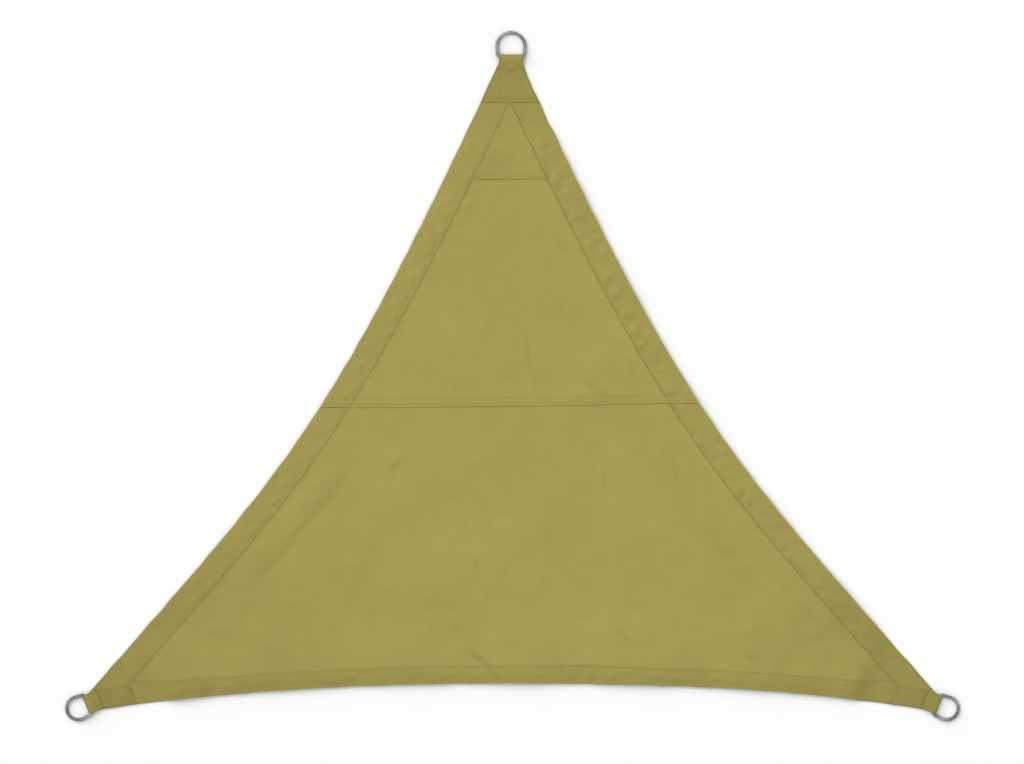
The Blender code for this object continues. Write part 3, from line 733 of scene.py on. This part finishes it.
def buildUpper():
    lapEnd, meetY, patchLine = sail["lap"] + upper["lapClear"], capEndY - upper["tipClear"], level(sail["patchY"])
    rows = []
    for offset in (*upper["fromSeam"], sail["lap"], *(lapEnd + past for past in upper["pastLap"])):
        stitched = sum(stitchLines(offset, upper["stitches"]))
        shade = upper["foldShade"] * nearLine(offset, hem["innerReach"]) + upper["stitchShade"] * stitched
        rows.append(across(
            shifted(seamY, offset), round=float(roundOver(offset, upper["foldRadius"])),
            groove=stitched * upper["groove"], shade=shade + upper["lapShade"] * (offset < sail["lap"]),
        ))
    lowEnd, highStart = (shifted(patchLine, upper["atPatch"][i]) for i in (0, -1))
    count = int((sail["patchY"] - sail["seamY"]) / upper["rowStep"])
    rows += acrossField(shifted(seamY, lapEnd + upper["pastLap"][-1]), lowEnd, count, -1)
    rows += [across(shifted(patchLine, offset)) for offset in upper["atPatch"]]
    rows += acrossField(highStart, level(meetY), int((meetY - sail["patchY"]) / upper["rowStep"]))
    for y in np.linspace(meetY + upper["tipStart"], corners["Top"]["fold"][1] - cap["tipEnd"], upper["tipRows"]):
        rows.append(across(level(y), thick=layers["hem"], keepShade=0.0))
    pastLap = len(upper["fromSeam"]) + 1
    piece, _, high, paths = layPanel(
        "sailUpper", rows, upper["fieldColumns"],
        lambda x, y: layers["lapRise"] * (1.0 - ease(y - seamY(x), lapEnd, sail["lapRamp"])),
        slice(pastLap, -upper["tipRows"] - 1), slice(pastLap + len(upper["pastLap"]), -upper["tipRows"] - 1),
    )
    span = slice(upper["stitchEnd"], -upper["stitchEnd"])
    return piece, paths + [(high[upper["fromSeam"].index(place), span], 1) for place in upper["stitches"]]


lower = {
    "fieldColumns": 150, "fieldRows": 88, "fieldEnd": -0.0060, "sideStitches": (24, -6), "stitchEnd": 22,
    # offsets from the seam of the rows before the lap, with their shade, and of those under it
    "beforeLap": ((-0.0036, 0.01), (-0.0024, 0.04), (-0.0016, 0.08), (-0.0010, 0.12)),
    "underLap": (-0.0004, 0.0, 0.0070, 0.0135), "lapShade": 0.14,
}


def buildLower():
    bottom = hemProfile(sail["bottomHem"], hem["bottomShade"], hem["bottomInnerShade"])
    past = pastProfile(hem["bottomInnerShade"])
    last = len(bottom["share"]) - 1
    rows = [across(between(bottomHemY, bottomY, bottom["share"][i]), **factsAt(bottom, i)) for i in range(last, -1, -1)]
    rows += [across(shifted(bottomHemY, offset), **factsAt(past, i)) for i, offset in enumerate(past["offset"])]
    fieldStart, fieldEnd = shifted(bottomHemY, past["offset"][-1]), shifted(seamY, lower["fieldEnd"])
    rows += acrossField(fieldStart, fieldEnd, lower["fieldRows"])
    rows += [across(shifted(seamY, offset), shade=shade) for offset, shade in lower["beforeLap"]]
    for offset in (*lower["underLap"], sail["lap"]):
        shade = lower["lapShade"] if offset <= 0.0 else 0.0
        rows.append(across(shifted(seamY, offset), shade=shade, single=True, keepShade=0.0))
    span = slice(*lower["sideStitches"])
    piece, low, high, paths = layPanel("sailLower", rows, lower["fieldColumns"], lambda x, y: 0.0, span, span)
    span = slice(lower["stitchEnd"], -lower["stitchEnd"])
    for i in stitchedRows(bottom["share"], sail["bottomHem"]):
        paths += [(high[last - i, span], 1), (low[last - i, span], -1)]
    return piece, paths


patch = {
    "columns": 44, "rowStep": 0.0045, "clear": 0.0011, "topHalf": 0.004, "rise": 0.0011,
    "edgeWobble": 0.0004, "edgeWaves": (41, 0.07, 0.03, 4), "lookUps": 300,
    "stitches": (0.0032, 0.0095), "groove": 0.00012, "foldRadius": 0.0004,
    "shade": 0.10, "stitchShade": 0.01, "edgeShade": 0.72, "edgeReach": 0.0010,
    "fromEdge": (0.0, 0.00015, 0.0004, 0.0010, 0.0024, 0.0032, 0.0040, 0.0070, 0.0087, 0.0095, 0.0103),
    "fieldStart": 0.0140,
}


def buildPatch():
    low, heights = sail["patchY"], np.linspace(sail["patchY"], capEndY, patch["lookUps"])
    half = 0.5 * (onCurve(sideHems[1], heights) - onCurve(sideHems[-1], heights)) - patch["clear"]
    reach = float(np.interp(-patch["topHalf"], -half, heights)) - low
    field = np.linspace(patch["fieldStart"], reach, int(reach / patch["rowStep"]))
    offsets = np.concatenate([patch["fromEdge"], field])
    share = np.sin(np.linspace(-0.5, 0.5, patch["columns"]) * math.pi) * 0.5 + 0.5
    plan = []
    for y in low + offsets:
        left, right = onCurve(sideHems[-1], y) + patch["clear"], onCurve(sideHems[1], y) - patch["clear"]
        x = left + (right - left) * share
        plan.append(np.stack([x, y + patch["edgeWobble"] * wobble(x, *patch["edgeWaves"])], axis=1))
    plan = np.array(plan)
    stitched = sum(stitchLines(offsets, patch["stitches"]))
    edgeShade = patch["edgeShade"] * nearLine(offsets, patch["edgeReach"])
    shade = np.maximum(edgeShade, patch["shade"] + patch["stitchShade"] * stitched)
    base = underside(plan[..., 0], plan[..., 1]) + patch["rise"]
    rounding = roundOver(offsets, patch["foldRadius"])[:, None]
    lowFace, highFace = layFaces(plan, base, layers["patch"], rounding, patch["groove"] * stitched[:, None])
    shades = np.broadcast_to(shade[:, None], plan.shape[:2])
    paths = [(highFace[int(np.argmin(np.abs(offsets - place))), 1:-1], 1) for place in patch["stitches"]]
    return closedSheet("tipPatch", lowFace, highFace, plan, shades, sailCloth), paths


# Corner caps, each one strip folded over its ring's bar

capMesh = {
    "edge": (0.0, 0.00015, 0.0004, 0.0010, 0.0025, 0.0045), "middle": 64, "edgeRadius": 0.0005, "seed": 70,
    "stitches": (0.0060, 0.0110), "wrapSteps": 17,
    # rows near the end of the lower and of the upper layer and around the stitches below the loop, then the
    # even rows between, as how far they stay from what is before and after them, and their number
    "underEnd": (0.0, 0.00015, 0.0005, 0.0030), "stitchRows": (-0.0010, 0.0, 0.0010),
    "overEnd": (0.0118, 0.0110, 0.0102, 0.0085, 0.0068, 0.0060, 0.0052, 0.0030, 0.0012, 0.0005, 0.00015, 0.0),
    "underField": (0.008, 0.012, 14), "loopField": (0.002, 0.002, 12), "overField": (0.0024, 0.0132, 34),
    "crumple": 0.00030, "crumples": (0.050, 0.014, 14), "crumpleFloor": -0.0001,
    "edgeDrop": 0.00012, "edgeReach": 0.004, "groove": 0.00024, "grooveShade": 0.55, "lineGroove": 0.00025,
    "rimShade": 0.65, "rimReach": 0.0021, "endReach": 0.0014, "strapEdge": 0.0016, "offStrap": 0.30,
    "freeFrom": (0.006, 0.010), "freeEnd": 0.004, "thinFrom": (0.004, 0.020), "thinner": 0.72, "calmer": 0.7,
    "loopTo": (0.020, 0.010), "loopLighter": 0.8, "barFrom": (0.30, 0.35), "barPlain": 0.2,
}

# how dark each cap's parts are, with painted shade at its rims, bar, loop and lower end, how its stitches lie, the
# columns that they take, and the lines that show on it: sewn lines with painted shade along them, and on the top cap
# one band of painted shade by its edge, as (a, b) of both ends, depth of shade and half width
footLook = {
    "strapShade": 0.12, "endShade": 0.16, "endDepth": 0.55, "rowBow": 0.0016, "rowReach": 0.0018,
}
capLooks = {
    "Top": {
        "shade": 0.30, "loopShade": 0.0, "barShade": 0.55, "strapShade": 0.0, "endShade": 0.30, "endDepth": 0.9,
        "rowBow": 0.0, "rowReach": 0.0011, "endStitches": (3, -3), "strapSide": 0.0,
        "lines": (
            ((0.0335, 0.0213), (0.0860, 0.0222), 0.30, 0.0012), ((0.0340, 0.0268), (0.0850, 0.0288), 0.16, 0.0010),
            # the first of these is a band of painted shade by the cap's right edge, not a sewn line
            ((0.0580, 0.0385), (0.0860, 0.0530), 0.55, 0.0026), ((0.0335, -0.0208), (0.0860, -0.0215), 0.16, 0.0012),
        ),
    },
    "Left": {
        **footLook, "shade": 0.24, "loopShade": 0.05, "barShade": 0.95, "endStitches": (3, -36), "strapSide": -1.0,
        "lines": (((0.0960, 0.0032), (0.0290, 0.0186), 0.45, 0.0014),),
    },
    "Right": {
        **footLook, "shade": 0.18, "loopShade": 0.36, "barShade": 0.45, "endStitches": (36, -3), "strapSide": 1.0,
        "lines": (((0.0960, -0.0032), (0.0290, -0.0186), 0.40, 0.0014),),
    },
}


def capStations():  # for each row its inner and outer place along a, their heights, and its part of the cap
    length, stitch, crown = cap["length"], cap["stitch"], cap["barZ"] + cap["wrapInner"]
    back, front, count = capMesh["underField"]
    under = [*(length - np.array(capMesh["underEnd"])), *np.linspace(length - back, front, count)]
    stations = [(a, a, cap["lowerLayer"], 0.0, "under") for a in under]
    for angle in np.linspace(-0.5 * math.pi, 0.5 * math.pi, capMesh["wrapSteps"]):
        inA, outA = (cap["barA"] - cap[face] * math.cos(angle) for face in ("wrapInner", "wrapOuter"))
        inZ, outZ = (cap["barZ"] + cap[face] * math.sin(angle) for face in ("wrapInner", "wrapOuter"))
        stations.append((inA, outA, inZ, outZ, "wrap"))
    back, front, count = capMesh["loopField"]
    down = np.linspace(cap["barA"] + back, stitch - front, count)
    back, front, count = capMesh["overField"]
    flat = np.linspace(stitch + back, length - front, count)
    ends = length - np.array(capMesh["overEnd"])
    for a in np.concatenate([down, stitch + np.array(capMesh["stitchRows"]), flat, ends]):
        height = crown + (cap["upperInner"] - crown) * float(ease((a - cap["barA"]) / (stitch - cap["barA"])))
        stations.append((a, a, height, height + cap["cloth"], "over"))
    return stations


def strapShare(look, a, b):  # one where the sewn strap lies, nought where the cap runs out over the side hem
    if not look["strapSide"] or a <= cap["stitch"]:
        return np.ones(len(b))
    (startA, startB), (endA, endB), _, _ = look["lines"][0]
    lineB = startB + (endB - startB) * (a - startA) / (endA - startA)
    return ease(0.5 + look["strapSide"] * (b - lineB) / capMesh["strapEdge"])


def overFacts(corner, look, a, b, fromEdge, seed):  # relief, shade and thinness of the upper layer at one row
    length, stitch = cap["length"], cap["stitch"]
    free = ease(a, *capMesh["freeFrom"]) * ease((length - a) / capMesh["freeEnd"])
    strap = strapShare(look, a, b)
    thin = (1.0 - strap) * float(ease(a - stitch, *capMesh["thinFrom"]))
    bowed = a - stitch - look["rowBow"] * (1.0 - (b / corner["loop"]) ** 2)
    endRows = sum(stitchLines(a, length - np.array(capMesh["stitches"])))
    grooves = nearLine(bowed, look["rowReach"]) + endRows * look["endDepth"] * strap
    crumple = capMesh["crumple"] * ripple(np.full(len(b), a), b, seed, *capMesh["crumples"]) * free
    edgeDrop = capMesh["edgeDrop"] * (1.0 - ease(fromEdge / capMesh["edgeReach"]))
    relief = np.maximum(crumple, capMesh["crumpleFloor"]) - edgeDrop * free - capMesh["groove"] * grooves
    relief = relief * (1.0 - capMesh["calmer"] * thin)
    inLoop = 1.0 - float(ease(a, *capMesh["loopTo"]))
    dark = look["shade"] * (1.0 - capMesh["offStrap"] * (1.0 - strap)) * (1.0 - capMesh["loopLighter"] * inLoop)
    dark = dark + look["loopShade"] * inLoop + look["strapShade"] * strap * (a > stitch)
    dark = dark + capMesh["grooveShade"] * grooves * free
    # painted shade along the cap's rims and across its lower end
    dark = dark + capMesh["rimShade"] * nearLine(fromEdge, capMesh["rimReach"])
    dark = dark + look["endShade"] * strap * nearLine(length - a, capMesh["endReach"])
    # the listed lines, each with a slight groove and painted shade along it
    for start, end, depth, reach in look["lines"]:
        sewn = nearLine(alongLine(a, b, start, end)[1], reach)
        relief = relief - capMesh["lineGroove"] * sewn * free
        dark = dark + depth * sewn
    return relief, dark, thin


def buildCap(name, seed):
    corner, look, edge, stations = corners[name], capLooks[name], np.array(capMesh["edge"]), capStations()
    inner, outer, weave, shade = [], [], [], []
    run, last = 0.0, None
    for aIn, aOut, zIn, zOut, part in stations:
        pinch = cap["pinch"] * ((cap["barA"] - min(aIn, cap["barA"])) / cap["wrapInner"]) ** 2
        lowB, highB = (float(capEdge(name, max(aIn, cap["barA"]), sign)) - sign * pinch for sign in (-1, 1))
        middle = np.linspace(edge[-1], highB - lowB - edge[-1], capMesh["middle"] + 2)[1:-1]
        fromLow = np.concatenate([edge, middle, (highB - lowB) - edge[::-1]])
        b, fromEdge = lowB + fromLow, np.minimum(fromLow, highB - lowB - fromLow)
        rounding = roundOver(fromEdge, capMesh["edgeRadius"])
        if part != "wrap":
            rounding = np.minimum(rounding, roundOver(cap["length"] - aIn, capMesh["edgeRadius"]))
        midA, midZ = 0.5 * (aOut + aIn), 0.5 * (zOut + zIn)
        relief, dark, thin = np.zeros(len(b)), np.full(len(b), look["shade"]), 0.0
        if part == "wrap":
            roundness = (cap["barA"] - aOut) / cap["wrapOuter"]
            # painted shade on the fold's outer crown
            dark = dark * capMesh["barPlain"] + look["barShade"] * float(ease(roundness, *capMesh["barFrom"]))
        if part == "over":
            relief, dark, thin = overFacts(corner, look, aIn, b, fromEdge, seed)
        midZ = midZ - thin * 0.5 * cap["cloth"]
        halfA = rounding * (0.5 * (aOut - aIn))
        halfZ = rounding * (0.5 * (zOut - zIn) * (1.0 - capMesh["thinner"] * thin))
        inner.append(np.column_stack([fromCorner(corner, midA - halfA, b), midZ - halfZ + np.minimum(relief, 0.0)]))
        outer.append(np.column_stack([fromCorner(corner, midA + halfA, b), midZ + halfZ + relief]))
        run += 0.0 if last is None else math.hypot(aOut - last[0], zOut - last[1])
        last = (aOut, zOut)
        weave.append(np.stack([b, np.full(len(b), run)], axis=1))
        shade.append(np.clip(dark, 0.0, 1.0))
    outer = np.array(outer)
    piece = closedSheet(f"cornerCap{name}", np.array(inner), outer, np.array(weave), np.array(shade), capCloth)
    over = [i for i, station in enumerate(stations) if station[4] == "over"]
    sewn = [(cap["stitch"], (3, -3)), *((cap["length"] - place, look["endStitches"]) for place in capMesh["stitches"])]
    rows = [min(over, key=lambda i: abs(stations[i][0] - place)) for place, _ in sewn]
    return piece, [(outer[row, slice(*span)], 1) for row, (_, span) in zip(rows, sewn)]


# Geometry Nodes: D-rings and stitches

def newTree(name, **labels):
    tree = bpy.data.node_groups.new(name, "GeometryNodeTree")
    for kind, names in {"Geometry": ("Geometry",), **labels, "Material": ("Finish",)}.items():
        for label in names:
            tree.interface.new_socket(label, in_out="INPUT", socket_type=f"NodeSocket{kind}")
    tree.interface.new_socket("Geometry", in_out="OUTPUT", socket_type="NodeSocketGeometry")
    add, work = nodeTools(tree)
    return tree, add("NodeGroupInput").outputs, add, work


def endTree(tree, given, add, geometry):
    smooth = add("GeometryNodeSetShadeSmooth", Geometry=geometry)
    real = add("GeometryNodeRealizeInstances", Geometry=smooth)
    done = add("GeometryNodeSetMaterial", Geometry=real, Material=given["Finish"])
    add("NodeGroupOutput", Geometry=done)
    return tree


def vector(add, **parts):
    return add("ShaderNodeCombineXYZ", **parts)


def ringTree():
    tree, given, add, work = newTree(
        "dRing", Float=("Bow Radius", "Rise", "Lean", "Bar Bend", "Wire Radius"),
        Int=("Bow Steps", "Bar Steps", "Wire Steps"),
    )
    bow, height = given["Bow Radius"], work("ADD", given["Bow Radius"], given["Rise"])
    halfCorner = work("DIVIDE", work("SUBTRACT", math.pi / 2.0, given["Lean"]), 2.0)
    topHalf = work("DIVIDE", bow, work("TANGENT", halfCorner))
    barHalf = work("SUBTRACT", topHalf, work("MULTIPLY", height, work("TANGENT", given["Lean"])))
    frameLine = add(
        "GeometryNodeCurvePrimitiveQuadrilateral", {"mode": "TRAPEZOID"}, Height=height, Offset=0.0,
        Bottom_Width=work("MULTIPLY", barHalf, 2.0), Top_Width=work("MULTIPLY", topHalf, 2.0),
    )
    place = add("GeometryNodeInputPosition")
    upwards = add("ShaderNodeSeparateXYZ", Vector=place).outputs["Y"]
    isBow = add("FunctionNodeCompare", {"data_type": "FLOAT", "operation": "GREATER_THAN"}, i0=upwards, i1=0.0)

    def choose(kind, bar, top):  # one value for the bar's corners, another for the bow's
        return add("GeometryNodeSwitch", {"input_type": kind}, Switch=isBow, **{"False": bar, "True": top})

    bent = add(
        "GeometryNodeFilletCurve", {"mode": "POLY"}, Curve=frameLine,
        Radius=choose("FLOAT", given["Bar Bend"], bow), Count=choose("INT", given["Bar Steps"], given["Bow Steps"]),
    )
    shift = vector(add, Y=work("DIVIDE", height, 2.0))
    lifted = add("GeometryNodeTransform", Geometry=bent, Translation=shift)
    wire = add(
        "GeometryNodeCurvePrimitiveCircle", {"mode": "RADIUS"},
        Radius=given["Wire Radius"], Resolution=given["Wire Steps"],
    )
    tube = add("GeometryNodeCurveToMesh", Curve=lifted, Profile_Curve=wire)
    return endTree(tree, given, add, tube)


threadShape = {"arcSteps": 4, "roundSteps": 5, "sunk": -1.1, "proud": 2.0}  # ends and crown, in thread radii


def stitchTree():
    tree, given, add, work = newTree(
        "stitchRows", Float=("Pitch", "Stitch Length", "Thread Radius", "Wander"), Int=("Seed",)
    )
    curve = add("GeometryNodeMeshToCurve", Mesh=given["Geometry"])
    spaced = add("GeometryNodeResampleCurve", {"mode": "LENGTH"}, Curve=curve, Length=given["Pitch"])
    half = work("MULTIPLY", given["Stitch Length"], 0.5)
    sunk, proud = (work("MULTIPLY", given["Thread Radius"], threadShape[end]) for end in ("sunk", "proud"))
    arc = add(
        "GeometryNodeCurveQuadraticBezier", Resolution=threadShape["arcSteps"], Middle=vector(add, Z=proud),
        Start=vector(add, X=work("MULTIPLY", half, -1.0), Z=sunk), End=vector(add, X=half, Z=sunk),
    )
    ring = add(
        "GeometryNodeCurvePrimitiveCircle", {"mode": "RADIUS"},
        Resolution=threadShape["roundSteps"], Radius=given["Thread Radius"],
    )
    one = add("GeometryNodeCurveToMesh", Curve=arc, Profile_Curve=ring, Fill_Caps=True)
    # each stitch runs along its path, stands on the cloth's outer side and strays a little
    faceUp = add("GeometryNodeInputNamedAttribute", {"data_type": "FLOAT"}, Name="faceUp")
    tangent = add("GeometryNodeInputTangent")
    along = add("FunctionNodeAlignRotationToVector", {"axis": "X"}, Vector=tangent)
    stood = add(
        "FunctionNodeAlignRotationToVector", {"axis": "Z", "pivot_axis": "X"},
        Rotation=along, Vector=vector(add, Z=faceUp),
    )
    stray = add("FunctionNodeRandomValue", {"data_type": "FLOAT"})
    limits = {"Min": work("MULTIPLY", given["Wander"], -1.0), "Max": given["Wander"], "Seed": given["Seed"]}
    for socket in stray.inputs:
        if socket.enabled and socket.name in limits:
            give(socket, limits[socket.name])
    spin = vector(add, Z=[socket for socket in stray.outputs if socket.enabled][0])
    turn = add("FunctionNodeEulerToRotation", Euler=spin)
    turned = add("FunctionNodeRotateRotation", {"rotation_space": "LOCAL"}, Rotation=stood, Rotate_By=turn)
    placed = add("GeometryNodeInstanceOnPoints", Points=spaced, Instance=one, Rotation=turned)
    return endTree(tree, given, add, placed)


def bake(name, mesh, tree, values):  # runs a tree on a mesh and keeps the result as a plain object
    host = linked(f"{name}Host", mesh)
    modifier = host.modifiers.new("build", "NODES")
    modifier.node_group = tree
    names = {item.name: item.identifier for item in tree.interface.items_tree if item.in_out == "INPUT"}
    for label, value in values.items():
        modifier[names[label]] = value
    made = bpy.data.meshes.new_from_object(host.evaluated_get(bpy.context.evaluated_depsgraph_get()))
    made.name = name
    host.modifiers.clear()
    bpy.data.objects.remove(host, do_unlink=True)
    return linked(name, made)


ringSizes = {  # named as the tree's inputs are
    "Lean": math.radians(5.0), "Bar Bend": 0.0060, "Wire Radius": cap["wire"],
    "Bow Steps": 44, "Bar Steps": 10, "Wire Steps": 24, "Finish": steel,
}
ringRest = {
    "crownZ": 0.00303, "sideShadeBelow": 0.55, "sideShadeFade": 0.35,
    # painted highlight on the wire's shoulders, at this angle from the crown, for each ring
    "highlightAt": 42.0, "highlightReach": 20.0, "paintedHighlight": {"Top": 0.55, "Left": 0.10, "Right": 0.10},
}


def readPoints(mesh, what):
    numbers = np.zeros(3 * len(mesh.vertices))
    mesh.vertices.foreach_get(what, numbers)
    return numbers.reshape(-1, 3)


def buildRing(name, tree):
    corner = corners[name]
    sizes = {**ringSizes, "Bow Radius": corner["bow"], "Rise": corner["rise"]}
    piece = bake(f"ring{name}", bpy.data.meshes.new(f"ring{name}Seed"), tree, sizes)
    spots = readPoints(piece.data, "co")
    fromCrown = np.degrees(np.abs(np.arctan2(spots[:, 0], spots[:, 1] - corner["rise"])))
    # painted highlight on the shoulders
    paintedHighlight = ringRest["paintedHighlight"][name] * nearLine(fromCrown - ringRest["highlightAt"], ringRest["highlightReach"])
    # the bar lies in the cap's loop, and the bow rests on the surface
    into, across = cornerAxes(corner)
    drop = math.asin((cap["barZ"] - ringRest["crownZ"]) / (corner["rise"] + corner["bow"]))
    axisX, axisY = Vector((*across, 0.0)), Vector((*(-math.cos(drop) * into), -math.sin(drop)))
    place = Matrix((axisX, axisY, axisX.cross(axisY))).transposed().to_4x4()
    place.translation = Vector((*fromCorner(corner, cap["barA"], corner["slide"]), cap["barZ"]))
    piece.data.transform(place)
    piece.data.update()
    # painted reflection: the wire's sides darker, less so at the painted highlight
    side = 1.0 - ease(readPoints(piece.data, "normal")[:, 2], ringRest["sideShadeBelow"], ringRest["sideShadeFade"])
    shadedSide = piece.data.attributes.new("wireSide", "FLOAT", "POINT")
    shadedSide.data.foreach_set("value", (side * (1.0 - paintedHighlight)).astype(np.float32))
    return piece


stitching = {"Pitch": 0.0042, "Stitch Length": 0.0034, "Thread Radius": 0.00028, "Wander": 0.05, "Finish": thread}


def buildStitches(name, paths, tree, seed):
    points, edges, faceUp = [], [], []
    for path, side in paths:
        edges += [(len(points) + i, len(points) + i + 1) for i in range(len(path) - 1)]
        points += path.tolist()
        faceUp += [float(side)] * len(path)
    mesh = bpy.data.meshes.new(f"{name}Paths")
    mesh.from_pydata(points, edges, [])
    mesh.attributes.new("faceUp", "FLOAT", "POINT").data.foreach_set("value", faceUp)
    return bake(name, mesh, tree, {**stitching, "Seed": seed})


upperPiece, upperPaths = buildUpper()
lowerPiece, lowerPaths = buildLower()
patchPiece, patchPaths = buildPatch()
print("sail laid")

capPieces, capPaths = {}, []
for i, name in enumerate(corners):
    capPieces[name], paths = buildCap(name, capMesh["seed"] + i)
    capPaths += paths
print("caps folded")

dRing = ringTree()
ringPieces = {name: buildRing(name, dRing) for name in corners}
print("rings bent")

stitchRows = stitchTree()
upperStitches = buildStitches("stitchesUpper", upperPaths + patchPaths, stitchRows, seed=3)
lowerStitches = buildStitches("stitchesLower", lowerPaths, stitchRows, seed=4)
capStitches = buildStitches("stitchesCaps", capPaths, stitchRows, seed=5)
print("stitched")

# Who stands for what

stands = [(upperPiece, "panel_upper", "sail_cloth"), (lowerPiece, "panel_lower", "sail_cloth")]
stands.append((patchPiece, "tip_patch", "sail_cloth"))
for name in corners:
    stands.append((capPieces[name], f"corner_cap_{name.lower()}", "cap_cloth"))
    stands.append((ringPieces[name], f"ring_{name.lower()}", "ring_steel"))
for piece, node, slot in stands:
    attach(piece, "root")
    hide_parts(node)
for piece in (upperStitches, lowerStitches, capStitches):
    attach(piece, "root")

print("pieces:", ", ".join(piece.name for piece, _, _ in stands), "and three pieces of stitches")
